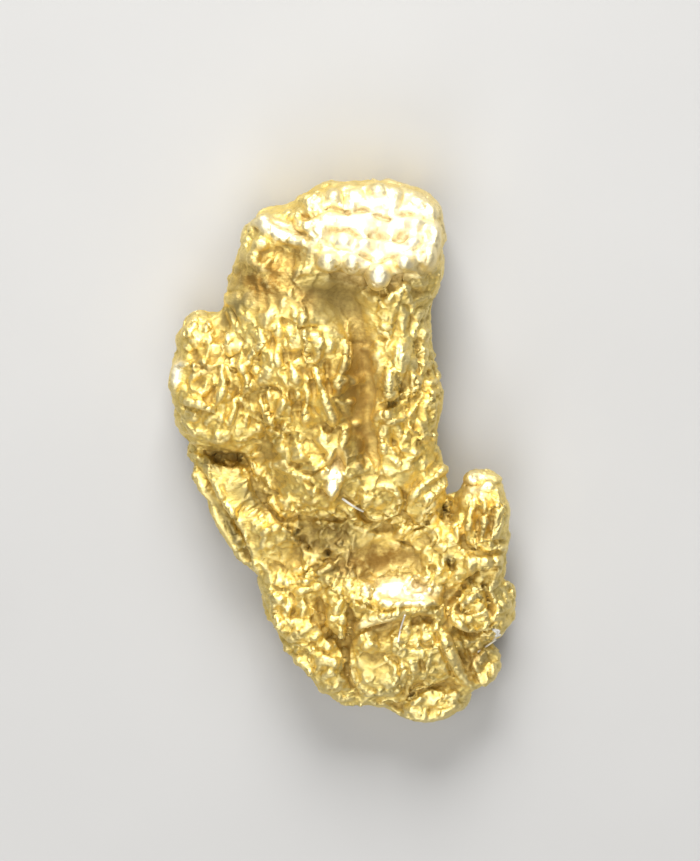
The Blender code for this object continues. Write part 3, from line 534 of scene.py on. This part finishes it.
# Where the finish differs: centre (u, v), radii, turn in degrees, strength. Stains are ochre, painted shade
# is dark, matte places are smooth and dull, and polished places are smooth and pale, partly a painted
# highlight.
STAINS = {
    "hollow": ((0.56, -2.07), (0.91, 0.35), 3, 1.0),
    "waist": ((-0.3, -1.74), (0.77, 0.42), 0, 0.75),
    "beside_ledge": ((0.1, -2.28), (0.59, 0.23), 0, 0.9),
    "furrow": ((0.19, 0.93), (0.44, 1.39), -4, 0.75),
    "furrow_low": ((0.23, -0.12), (0.3, 0.63), 4, 0.85),
    "brow": ((-0.63, 2.39), (0.35, 0.26), -35, 1.0),
    "left_cheek": ((-1.39, 2.75), (0.77, 0.66), 0, 1.0),
    "brow_right": ((1.29, 2.56), (0.23, 0.23), 0, 0.2),
    "left_lobe": ((-2.42, 1.26), (0.35, 0.24), 0, 0.6),
    "recess": ((-1.93, -0.47), (0.17, 0.16), 0, 0.9),
    "beside_facet": ((1.34, -3.13), (0.23, 0.16), 0, 0.3),
    "small_knob": ((2.35, -3.86), (0.23, 0.24), 0, 0.7),
    "spur": ((2.37, -1.48), (0.38, 0.38), 0, 0.45),
    "crown": ((-0.7, 3.87), (0.12, 0.09), 0, 1.0),
}
# Painted shade: where shade falls, under the brow, in grooves, the recess and pits, the metal is painted
# dark
PAINTED_SHADE_PLACES = {
    "under_brow": ((-0.35, 2.68), (0.63, 0.24), 0, 0.5),
    "brow_hollow": ((-0.21, 2.37), (0.84, 0.52), 0, 0.6),
    "lobe_seam": ((-1.97, 2.16), (0.49, 0.17), 50, 0.7),
    "groove": ((-2.04, -1.46), (0.87, 0.1), -59, 0.9),
    "recess": ((-2.3, -0.41), (0.31, 0.17), -20, 0.8),
    "left_flank": ((-1.64, -1.01), (0.52, 0.31), -35, 0.7),
    "pit_arch": ((-0.84, -1.65), (0.1, 0.09), 0, 0.7),
    "pit_middle": ((-0.3, -2.02), (0.09, 0.09), 0, 0.8),
    "pit_cleft": ((1.71, -1.28), (0.09, 0.17), 0, 0.9),
    "pit_right": ((1.83, -2.1), (0.12, 0.1), 0, 0.8),
    "waist": ((-0.38, -1.74), (0.97, 0.42), 0, 0.45),
    "left_of_hollow": ((-0.24, -2.33), (0.56, 0.28), 0, 0.5),
}
MATTE = {
    "hollow": ((0.54, -2.0), (0.97, 0.49), 4, 0.9),
    "waist": ((-0.68, -1.89), (1.04, 0.35), 0, 0.45),
    "furrow": ((0.3, 0.8), (0.38, 1.53), -4, 1.0),
    "brow_hollow": ((-0.17, 2.41), (0.94, 0.63), 0, 1.0),
    "left_cheek": ((-1.43, 2.67), (0.87, 0.84), 0, 0.8),
    "left_flank": ((-1.6, -1.02), (0.52, 0.28), -35, 0.6),
    "facet": ((0.56, -3.22), (0.47, 0.17), 8, 1.0),
    "lip": ((-2.18, -1.34), (1.17, 0.21), -61, 0.8),
    "plate": ((0.49, -4.0), (0.45, 0.42), 0, 0.6),
    "lobe_seam": ((-1.97, 2.16), (0.49, 0.17), 50, 0.8),
}
# Polished places are also painted pale, a painted highlight
POLISHED_AND_HIGHLIGHT_PLACES = {
    "ledge": ((1.04, -2.66), (0.77, 0.31), -4, 1.0),
    "crown": ((0.59, 3.59), (1.6, 1.06), 0, 1.0),
    "shoulder": ((-1.11, 3.64), (0.66, 0.23), -18, 0.9),
    "spur": ((2.26, -0.8), (0.35, 0.31), 0, 0.5),
    "facet": ((0.56, -3.22), (0.47, 0.17), 8, 0.25),
    "tongue": ((-0.16, -0.64), (0.52, 0.19), 79, 0.7),
    "brow_bead": ((0.59, 2.82), (0.26, 0.26), 0, 0.8),
    "lobe_flake": ((-2.91, 1.15), (0.12, 0.31), -10, 1.0),
}

FIBRE_LIFT = 0.035  # how far a fibre is lifted off the metal, towards the camera
FIBRE_STEPS = 8  # points on a fibre from one corner to the next
# Lint: points along each fibre (u, v), and its diameter
LINT = {
    "lint_straight": ([(-0.03, -1.05), (0.14, -1.17), (0.33, -1.27)], 0.042),
    "lint_curved": ([(1.06, -3.08), (0.99, -3.3), (0.94, -3.55)], 0.030),
    "lint_edge": ([(2.33, -3.72), (2.48, -3.62), (2.64, -3.51)], 0.032),
    "lint_speck": (
        [(2.6, -3.52), (2.66, -3.4), (2.6, -3.33), (2.7, -3.36), (2.64, -3.44), (2.72, -3.42)], 0.045
    ),
}


# ------------ the skin and its strokes


class Clay:
    """A mesh's points and normals while strokes are laid on it."""

    def __init__(self, mesh):
        self.mesh = mesh
        self.points = np.empty((len(mesh.vertices), 3))
        self.normals = np.empty((len(mesh.vertices), 3))
        self.read()

    def read(self):
        self.mesh.vertices.foreach_get("co", self.points.ravel())
        self.mesh.vertex_normals.foreach_get("vector", self.normals.ravel())
        nearer = CAMERA_DISTANCE / (CAMERA_DISTANCE - self.points @ TOWARDS_CAMERA)
        self.seen = np.stack((self.points @ RIGHT, self.points @ UP), axis=1) * nearer[:, None]
        self.facing = np.clip((self.normals @ TOWARDS_CAMERA) / STEEPEST, 0, 1)

    def near(self, low, high):
        """The points that the camera sees between two corners."""
        return np.flatnonzero(((self.seen > low) & (self.seen < high)).all(axis=1))

    def lift(self, near, heights):
        """Moves points out along their normals."""
        self.points[near] += self.normals[near] * heights[:, None]

    def settle(self):
        """Writes the points to the mesh and reads its new normals."""
        self.mesh.vertices.foreach_set("co", self.points.ravel())
        self.mesh.update()
        self.read()


def oval_reach(seen, centre, radii, turn):
    """0 at the middle of an oval, 1 at its rim."""
    angle = math.radians(turn)
    away = seen - np.array(centre)
    along = away @ np.array((math.cos(angle), math.sin(angle)))
    across = away @ np.array((-math.sin(angle), math.cos(angle)))
    return np.hypot(along / radii[0], across / radii[1])


def in_oval(clay, centre, radii, turn):
    """The points near an oval, and how far out each one lies."""
    near = clay.near(np.array(centre) - max(radii), np.array(centre) + max(radii))
    return near, oval_reach(clay.seen[near], centre, radii, turn)


def boss(clay, centre, radii, turn, height):
    """Raises a round boss, or presses in a pit where the height is negative."""
    near, reach = in_oval(clay, centre, radii, turn)
    clay.lift(near, height * np.clip(1 - reach**2, 0, 1) * clay.facing[near])


def flatten(clay, centre, radii, turn, slope):
    """Lays a flat of a given slope into an oval, at the mean depth that the metal has there."""
    near, reach = in_oval(clay, centre, radii, turn)
    hold = np.clip((1 - reach) / FLAT_BORDER, 0, 1) * clay.facing[near]
    wanted = (clay.seen[near] - np.array(centre)) @ np.array(slope)
    depth = clay.points[near] @ TOWARDS_CAMERA
    wanted += np.average(depth - wanted, weights=hold)
    clay.points[near] += (hold * (wanted - depth))[:, None] * TOWARDS_CAMERA


def smooth_line(corners, steps):
    """Points along a Catmull-Rom curve through the corners."""
    p = np.array([corners[0], *corners, corners[-1]])
    t = np.linspace(0, 1, steps, endpoint=False)[:, None]
    spans = [
        b + 0.5 * t * ((c - a) + t * ((2 * a - 5 * b + 4 * c - d) + t * (3 * (b - c) + d - a)))
        for a, b, c, d in zip(p, p[1:], p[2:], p[3:])
    ]
    return np.concatenate([*spans, p[-1:]])


def along_line(clay, corners, half_width):
    """The points near a smooth line, how far off it each lies in half widths, and the line's taper."""
    line = smooth_line(corners, LINE_STEPS)
    near = clay.near(line.min(axis=0) - half_width, line.max(axis=0) + half_width)
    gaps = np.linalg.norm(clay.seen[near][:, None, :] - line[None], axis=2)
    along = gaps.argmin(axis=1) / (len(line) - 1)
    taper = np.sqrt(np.clip(np.minimum(along, 1 - along) / TAPER_SHARE, TAPER_LEAST, 1))
    return near, gaps.min(axis=1) / half_width, taper


def ridge(clay, corners, half_width, height):
    """Raises a ridge that is round on top and meets the skin in a crease."""
    near, off, taper = along_line(clay, corners, half_width)
    clay.lift(near, height * taper * np.clip(1 - off**2, 0, 1) * clay.facing[near])


def crease(clay, corners, half_width, depth):
    """Cuts a crease that is sharp at the bottom."""
    near, off, taper = along_line(clay, corners, half_width)
    clay.lift(near, -depth * taper * np.clip(1 - off, 0, 1) * clay.facing[near])


def bead_lift(place):
    """Round lumps with sharp creases between them: 0 in a crease, LUMP_TOP over the middle."""
    nearest, second = noise.voronoi(place)[0][:2]
    rise = min(1.0, (second - nearest) / CREASE_REACH)
    return rise * (2 - rise) * (LUMP_TOP - LUMP_FALL * nearest)


def worm_lift(place):
    """Winding ridges with wide valleys between them."""
    return math.exp(-((noise.noise(place) / WORM_WIDTH) ** 2))


def facet_lift(place):
    """Flat facets, each tilted its own way, that come back to the skin at their borders."""
    gaps, middles = noise.voronoi(place)
    tilt = noise.cell_vector(middles[0] * FACET_SEED) - HALF
    return tilt.dot(place - middles[0]) * min(1.0, (gaps[1] - gaps[0]) / FACET_BORDER)


def lifts(places, profile):
    """The lift of each place, bent a little out of its grid, around a mean of 0."""
    lift = np.empty(len(places))
    for index, place in enumerate(places):
        place = Vector(place)
        lift[index] = profile(place + WARP * noise.noise_vector(place * WARP_PITCH))
    return lift - lift.mean()


def crumple(clay, grain, height, hold, profile):
    """Breaks the skin into lumps or facets about one grain across, as strongly as it is told to."""
    near = np.flatnonzero(hold > LEAST_HOLD)
    clay.lift(near, height * hold[near] * lifts(clay.points[near] / grain, profile))


def lump_patch(clay, patch, hold, profile):
    """A patch of long lumps that lie in one direction, seen from the camera."""
    centre, radii, turn, (length, width), direction, height = patch
    reach = oval_reach(clay.seen, centre, radii, turn)
    hold = hold * np.clip(PATCH_EDGE * (1 - reach), 0, 1) * clay.facing
    near = np.flatnonzero(hold > LEAST_HOLD)
    angle = math.radians(direction)
    u, v = clay.seen[near].T
    along = (u * math.cos(angle) + v * math.sin(angle)) / length
    across = (v * math.cos(angle) - u * math.sin(angle)) / width
    deep = clay.points[near] @ TOWARDS_CAMERA / (length + width)
    clay.lift(near, height * hold[near] * lifts(np.stack((along, across, deep), axis=1), profile))


def named_places(seen, places):
    """The strength of the strongest of some named ovals at each point, soft at their rims."""
    strength = np.zeros(len(seen))
    for centre, radii, turn, amount in places.values():
        reach = oval_reach(seen, centre, radii, turn)
        strength = np.maximum(strength, amount * np.clip(FINISH_EDGE * (1 - reach), 0, 1))
    return strength


def add_object(name, data):
    obj = bpy.data.objects.new(name, data)
    bpy.context.scene.collection.objects.link(obj)
    return obj


def applied(source, name):
    """A new mesh object that holds what the source's modifiers make; the source is removed."""
    graph = bpy.context.evaluated_depsgraph_get()
    mesh = bpy.data.meshes.new_from_object(source.evaluated_get(graph))
    bpy.data.objects.remove(source)
    mesh.name = name
    return add_object(name, mesh)


def smooth_skin(node):
    """The node's surface in millimetres, with its facets rounded off, as a fine even mesh."""
    mesh = node.data.copy()
    mesh.transform(Matrix.Scale(1 / MM, 4))
    mesh.materials.clear()
    bm = bmesh.new()
    bm.from_mesh(mesh)
    bmesh.ops.remove_doubles(bm, verts=bm.verts, dist=MERGE_DISTANCE)
    bm.to_mesh(mesh)
    bm.free()
    skin = add_object("skin", mesh)
    rounder = skin.modifiers.new("rounder", "SUBSURF")
    rounder.levels = rounder.render_levels = 1
    grid = skin.modifiers.new("grid", "REMESH")
    grid.mode = "VOXEL"
    grid.voxel_size = SKIN_GRAIN
    blend = skin.modifiers.new("blend", "SMOOTH")
    blend.iterations = SKIN_PASSES
    return applied(skin, "skin")


def break_into_lumps(clay):
    """Lumps and facets all over, then the patches of them, weaker on smooth places and the outline."""
    even = np.maximum(named_places(clay.seen, MATTE), named_places(clay.seen, POLISHED_AND_HIGHLIGHT_PLACES))
    hold = 1 - SMOOTHING * even
    hold *= RIM_SHARE + (1 - RIM_SHARE) * np.abs(clay.normals @ TOWARDS_CAMERA)
    for grain, height in EVERYWHERE:
        crumple(clay, grain, height, hold, bead_lift)
    for grain, slope in FACETS:
        crumple(clay, grain, slope * grain, hold, facet_lift)
    kinds = ((WORM_PATCHES, worm_lift), (BEAD_PATCHES, bead_lift), (FACET_PATCHES, facet_lift))
    for patches, profile in kinds:
        for patch in patches.values():
            lump_patch(clay, patch, hold, profile)


def lay_strokes(clay):
    """The beads, ridges, creases and pits of the tables."""
    for height, beads in BEADS.values():
        for u, v, along, across, *turn in beads:
            boss(clay, (u, v), (along, across), sum(turn), BEAD_GAIN * height)
    for half_width, height, crests in RIDGES.values():
        for corners in crests:
            ridge(clay, corners, RIDGE_SPREAD * half_width, RIDGE_GAIN * height)
    for half_width, depth, bottoms in CREASES.values():
        for corners in bottoms:
            crease(clay, corners, CREASE_SPREAD * half_width, CREASE_GAIN * depth)
    for depth, pits in PITS.values():
        for u, v, radius in pits:
            boss(clay, (u, v), (radius, radius), 0, -depth)


def sculpt(mesh):
    noise.seed_set(WARP_SEED)
    clay = Clay(mesh)
    for centre, radii, turn, slope in FLATS.values():
        flatten(clay, centre, radii, turn, slope)
    clay.settle()
    break_into_lumps(clay)
    clay.settle()
    lay_strokes(clay)
    clay.points[:, 2] = clay.points[:, 2].clip(0, HIGHEST)
    clay.settle()


def thinned(skin, name):
    """The skin as triangles, no more than the budget, kept where it bends most."""
    bm = bmesh.new()
    bm.from_mesh(skin.data)
    bmesh.ops.triangulate(bm, faces=bm.faces)
    bm.to_mesh(skin.data)
    bm.free()
    worn = skin.modifiers.new("worn", "SMOOTH")
    worn.factor = WEAR
    fewer = skin.modifiers.new("fewer", "DECIMATE")
    fewer.ratio = min(1.0, TRIANGLES / len(skin.data.polygons))
    return applied(skin, name)


# ------------ what the material reads


def evened(points, edges, passes):
    """Points averaged with their neighbours a number of times."""
    count = len(points)
    ends = np.concatenate((edges, edges[:, ::-1]))
    degree = np.bincount(ends[:, 0], minlength=count)
    for _ in range(passes):
        sums = [np.bincount(ends[:, 0], column[ends[:, 1]], minlength=count) for column in points.T]
        points = 0.5 * points + 0.5 * np.stack(sums, axis=1) / degree[:, None]
    return points


def hollowness(clay, passes):
    """How far each point lies below its evened surroundings, in mm; negative on a crest."""
    edges = np.empty((len(clay.mesh.edges), 2), dtype=np.int64)
    clay.mesh.edges.foreach_get("vertices", edges.ravel())
    return ((evened(clay.points, edges, passes) - clay.points) * clay.normals).sum(axis=1)


def paint(mesh):
    """Stores what the gold's material reads: stains, painted shade, matte places, polished places that are
    also painted pale as a highlight, and hollows and crests.
    """
    clay = Clay(mesh)
    hollow = hollowness(clay, FINE_HOLLOW[0]) / FINE_HOLLOW[1]
    dell = hollowness(clay, BROAD_HOLLOW[0]) / BROAD_HOLLOW[1]
    finishes_and_painted_light = {"stain": STAINS, "painted_shade": PAINTED_SHADE_PLACES, "matte": MATTE, "polish_and_highlight": POLISHED_AND_HIGHLIGHT_PLACES}
    layers = {name: named_places(clay.seen, places) * clay.facing for name, places in finishes_and_painted_light.items()}
    # hollow and dell lead the dirt and painted shade of hollows; crest leads the pale wear and painted
    # highlight
    layers["hollow"] = np.clip(hollow, 0, 1)
    layers["dell"] = np.clip(dell, 0, 1)
    layers["crest"] = np.clip(-hollow, 0, 1)
    for name, values in layers.items():
        layer = mesh.attributes.new(name, "FLOAT", "POINT")
        layer.data.foreach_set("value", values.astype(np.float32))


# ------------ materials


class Nodes:
    """Short calls for building a material's nodes."""

    def __init__(self, name):
        self.material = bpy.data.materials.new(name)
        self.material.use_nodes = True
        self.tree = self.material.node_tree
        self.shader = self.tree.nodes["Principled BSDF"]

    def add(self, kind, settings=None, **inputs):
        node = self.tree.nodes.new(kind)
        for key, value in (settings or {}).items():
            setattr(node, key, value)
        for key, value in inputs.items():
            self.feed(node.inputs[key.replace("_", " ")], value)
        return node

    def feed(self, socket, value):
        if isinstance(value, bpy.types.NodeSocket):
            self.tree.links.new(value, socket)
        else:
            socket.default_value = value

    def finish(self, name, value):
        self.feed(self.shader.inputs[name], value)

    def layer(self, name):
        return self.add("ShaderNodeAttribute", {"attribute_name": name}).outputs["Fac"]

    def maths(self, operation, first, second):
        node = self.add("ShaderNodeMath", {"operation": operation, "use_clamp": True})
        self.feed(node.inputs[0], first)
        self.feed(node.inputs[1], second)
        return node.outputs[0]

    def plus(self, first, second):
        return self.maths("ADD", first, second)

    def times(self, first, second):
        return self.maths("MULTIPLY", first, second)

    def noise(self, scale, detail=3.0, roughness=0.5, turn=None, stretch=None):
        place = self.add("ShaderNodeTexCoord").outputs["Object"]
        if stretch:
            place = self.add("ShaderNodeMapping", Vector=place, Rotation=turn, Scale=stretch).outputs[0]
        made = self.add("ShaderNodeTexNoise", Vector=place, Scale=scale, Detail=detail, Roughness=roughness)
        return made.outputs["Fac"]

    def spread(self, value, low, high, to_low=0.0, to_high=1.0):
        node = self.add("ShaderNodeMapRange")
        for socket, number in zip(node.inputs, (value, low, high, to_low, to_high)):
            self.feed(socket, number)
        return node.outputs["Result"]

    def blend(self, amount, first, second):
        node = self.add("ShaderNodeMix", {"data_type": "RGBA"})
        self.feed(node.inputs["Factor"], amount)
        self.feed(node.inputs["A"], first)
        self.feed(node.inputs["B"], second)
        return node.outputs["Result"]


def rgb(colour):
    return (*colour, 1.0)


def gold_colour(n, dirt_and_shade, streaks, even):
    """Pale on crests and polished places, partly wear and partly a painted highlight; darker in hollows,
    partly soil and partly painted shade; ochre where stained; dark with painted shade where shade falls;
    and etched along streaks.
    """
    colour = n.blend(n.spread(n.noise(*BROAD_NOISE), *BROAD_STRETCH), *map(rgb, PLAIN_GOLD))
    # Painted highlight: polished places and crests turn pale, partly from wear; worn holds this pale tint
    worn = n.plus(n.layer("polish_and_highlight"), n.times(n.layer("crest"), CREST_WEAR_AND_HIGHLIGHT))
    colour = n.blend(worn, colour, rgb(WORN_GOLD_AND_HIGHLIGHT))
    # Painted shade: hollows turn dark brown, partly dirt
    colour = n.blend(n.times(dirt_and_shade, DIRT_AND_SHADE_COVER), colour, rgb(DIRT_AND_SHADE_COLOUR))
    stain = n.times(n.layer("stain"), n.spread(n.noise(*PATCH_NOISE), *PATCH_STRETCH))
    colour = n.blend(stain, colour, rgb(STAIN))
    # Painted shade: dark colour where shade falls, in recesses, grooves, pits and under the brow
    colour = n.blend(n.layer("painted_shade"), colour, rgb(PAINTED_SHADE_COLOUR))
    etching = n.spread(even, 0.0, 1.0, ETCHING, EVEN_ETCHING)
    etched = n.times(n.spread(streaks, *ETCHED_STRETCH), etching)
    return n.blend(etched, colour, rgb(ETCHED))


def gold_roughness(n, dirt_and_shade, fine):
    rough = n.spread(fine, *ROUGH_STRETCH, *ROUGHNESS)
    rough = n.plus(rough, n.times(n.layer("matte"), MATTE_ROUGHNESS))
    rough = n.plus(rough, n.times(n.layer("polish_and_highlight"), POLISH_ROUGHNESS))
    rough = n.plus(rough, n.times(dirt_and_shade, DIRT_AND_SHADE_ROUGHNESS))
    return n.maths("SUBTRACT", rough, n.times(n.layer("crest"), CREST_GLOSS))


def natural_gold():
    """Pale natural gold with a fine grain that runs in streaks."""
    n = Nodes("natural_gold")
    fine = n.noise(*FINE_NOISE)
    streaks = n.noise(*STREAK_NOISE, STREAK_TURN, STREAK_SCALE)
    even = n.maths("MAXIMUM", n.layer("polish_and_highlight"), n.layer("matte"))
    # Dirt and painted shade: fine and broad hollows darken, in patches
    deep = n.plus(n.layer("dell"), n.times(n.layer("hollow"), HOLLOW_DIRT_AND_SHADE))
    dirt_and_shade = n.times(deep, n.spread(fine, *DIRT_AND_SHADE_STRETCH, THIN_DIRT_AND_SHADE, 1.0))
    n.finish("Base Color", gold_colour(n, dirt_and_shade, streaks, even))
    n.finish("Metallic", n.spread(dirt_and_shade, 0.0, 1.0, 1.0, DIRT_AND_SHADE_METALLIC))
    n.finish("Roughness", gold_roughness(n, dirt_and_shade, fine))
    grain = n.plus(n.times(n.noise(*GRAIN_NOISE), 1 - STREAK_SHARE), n.times(streaks, STREAK_SHARE))
    grain = n.times(grain, n.spread(even, 0.0, 1.0, 1.0, EVEN_GRAIN))
    bump = n.add("ShaderNodeBump", Strength=1.0, Distance=GRAIN_DEPTH * MM, Height=grain)
    n.finish("Normal", bump.outputs[0])
    return n.material


def dull(name, scale, colours, roughness):
    """A plain material that is a little mottled."""
    n = Nodes(name)
    n.finish("Base Color", n.blend(n.noise(scale), *map(rgb, colours)))
    n.finish("Roughness", roughness)
    return n.material


# ------------ pieces


def nugget_metal(node):
    """The fine skin that stands for the CAD node."""
    skin = smooth_skin(node)
    sculpt(skin.data)
    metal = thinned(skin, "nugget_metal")
    paint(metal.data)
    metal.data.transform(Matrix.Scale(MM, 4))
    metal.data.shade_smooth()
    metal.data.materials.append(natural_gold())
    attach(metal, "root")
    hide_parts("nugget")
    return metal


def on_the_metal(metal, u, v):
    """The point of the metal that the camera sees at (u, v), in metres."""
    eye = Vector(TOWARDS_CAMERA) * CAMERA_DISTANCE * MM
    target = Vector(RIGHT * u + UP * v) * MM
    hit, point = metal.ray_cast(eye, (target - eye).normalized())[:2]
    return point if hit else target


def fibre(metal, name, corners, diameter, material):
    """A lint fibre that lies on the metal."""
    curve = bpy.data.curves.new(name, "CURVE")
    curve.dimensions = "3D"
    curve.bevel_depth = diameter / 2 * MM
    curve.bevel_resolution = 2
    curve.use_fill_caps = True
    lift = Vector(TOWARDS_CAMERA) * FIBRE_LIFT * MM
    line = smooth_line([on_the_metal(metal, u, v) + lift for u, v in corners], FIBRE_STEPS)
    spline = curve.splines.new("POLY")
    spline.points.add(len(line) - 1)
    for knot, point in zip(spline.points, line):
        knot.co = (*point, 1.0)
    piece = applied(add_object("fibre", curve), name)
    piece.data.shade_smooth()
    piece.data.materials.clear()
    piece.data.materials.append(material)
    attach(piece, "root")


# ------------ floor, lights and camera


def add_floor(material):
    bm = bmesh.new()
    bmesh.ops.create_grid(bm, x_segments=1, y_segments=1, size=FLOOR_REACH * MM)
    mesh = bpy.data.meshes.new("floor")
    bm.to_mesh(mesh)
    bm.free()
    mesh.materials.append(material)
    floor = add_object("floor", mesh)


def add_light(name, place, size, power):
    """A square lamp that shines at the origin."""
    lamp = bpy.data.lights.new(name, "AREA")
    lamp.size = size * MM
    lamp.energy = power
    holder = add_object(name, lamp)
    holder.location = Vector(place) * MM
    holder.rotation_euler = Vector(place).to_track_quat("Z", "Y").to_euler()


def add_world():
    world = bpy.data.worlds.new("studio")
    world.use_nodes = True
    sky = world.node_tree.nodes["Background"]
    sky.inputs["Color"].default_value = rgb(SKY)
    sky.inputs["Strength"].default_value = SKY_STRENGTH
    bpy.context.scene.world = world
    bpy.context.scene.view_settings.view_transform = "Standard"


def add_camera():
    data = bpy.data.cameras.new("camera")
    camera = add_object("camera", data)
    turned = Matrix((Vector(RIGHT), Vector(UP), Vector(TOWARDS_CAMERA))).transposed()
    camera.matrix_world = turned.to_4x4()
    camera.location = Vector(TOWARDS_CAMERA) * CAMERA_DISTANCE * MM
    long_side = max(PICTURE_SIZE)
    data.sensor_width = SENSOR
    data.lens = SENSOR * CAMERA_DISTANCE / (long_side * MM_PER_PIXEL)
    data.shift_x = (PICTURE_SIZE[0] / 2 - ORIGIN_PIXEL[0]) / long_side
    data.shift_y = (ORIGIN_PIXEL[1] - PICTURE_SIZE[1] / 2) / long_side
    data.clip_start, data.clip_end = (distance * MM for distance in CLIP)
    bpy.context.scene.camera = camera


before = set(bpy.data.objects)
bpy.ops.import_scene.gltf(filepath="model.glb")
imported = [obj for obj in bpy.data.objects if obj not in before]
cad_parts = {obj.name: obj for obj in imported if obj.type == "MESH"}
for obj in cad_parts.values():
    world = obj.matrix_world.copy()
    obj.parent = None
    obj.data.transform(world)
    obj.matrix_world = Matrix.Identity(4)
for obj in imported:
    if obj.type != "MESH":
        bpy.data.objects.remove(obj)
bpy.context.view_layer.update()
metal = nugget_metal(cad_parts["nugget"])
white = dull("lint", LINT_MOTTLE, LINT_COLOURS, LINT_ROUGHNESS)
for name, (corners, diameter) in LINT.items():
    fibre(metal, name, corners, diameter, white)
add_floor(dull("pale_floor", FLOOR_MOTTLE, FLOOR_COLOURS, FLOOR_ROUGHNESS))
for name, (place, size, power) in LIGHTS.items():
    add_light(name, place, size, power)
add_world()
add_camera()
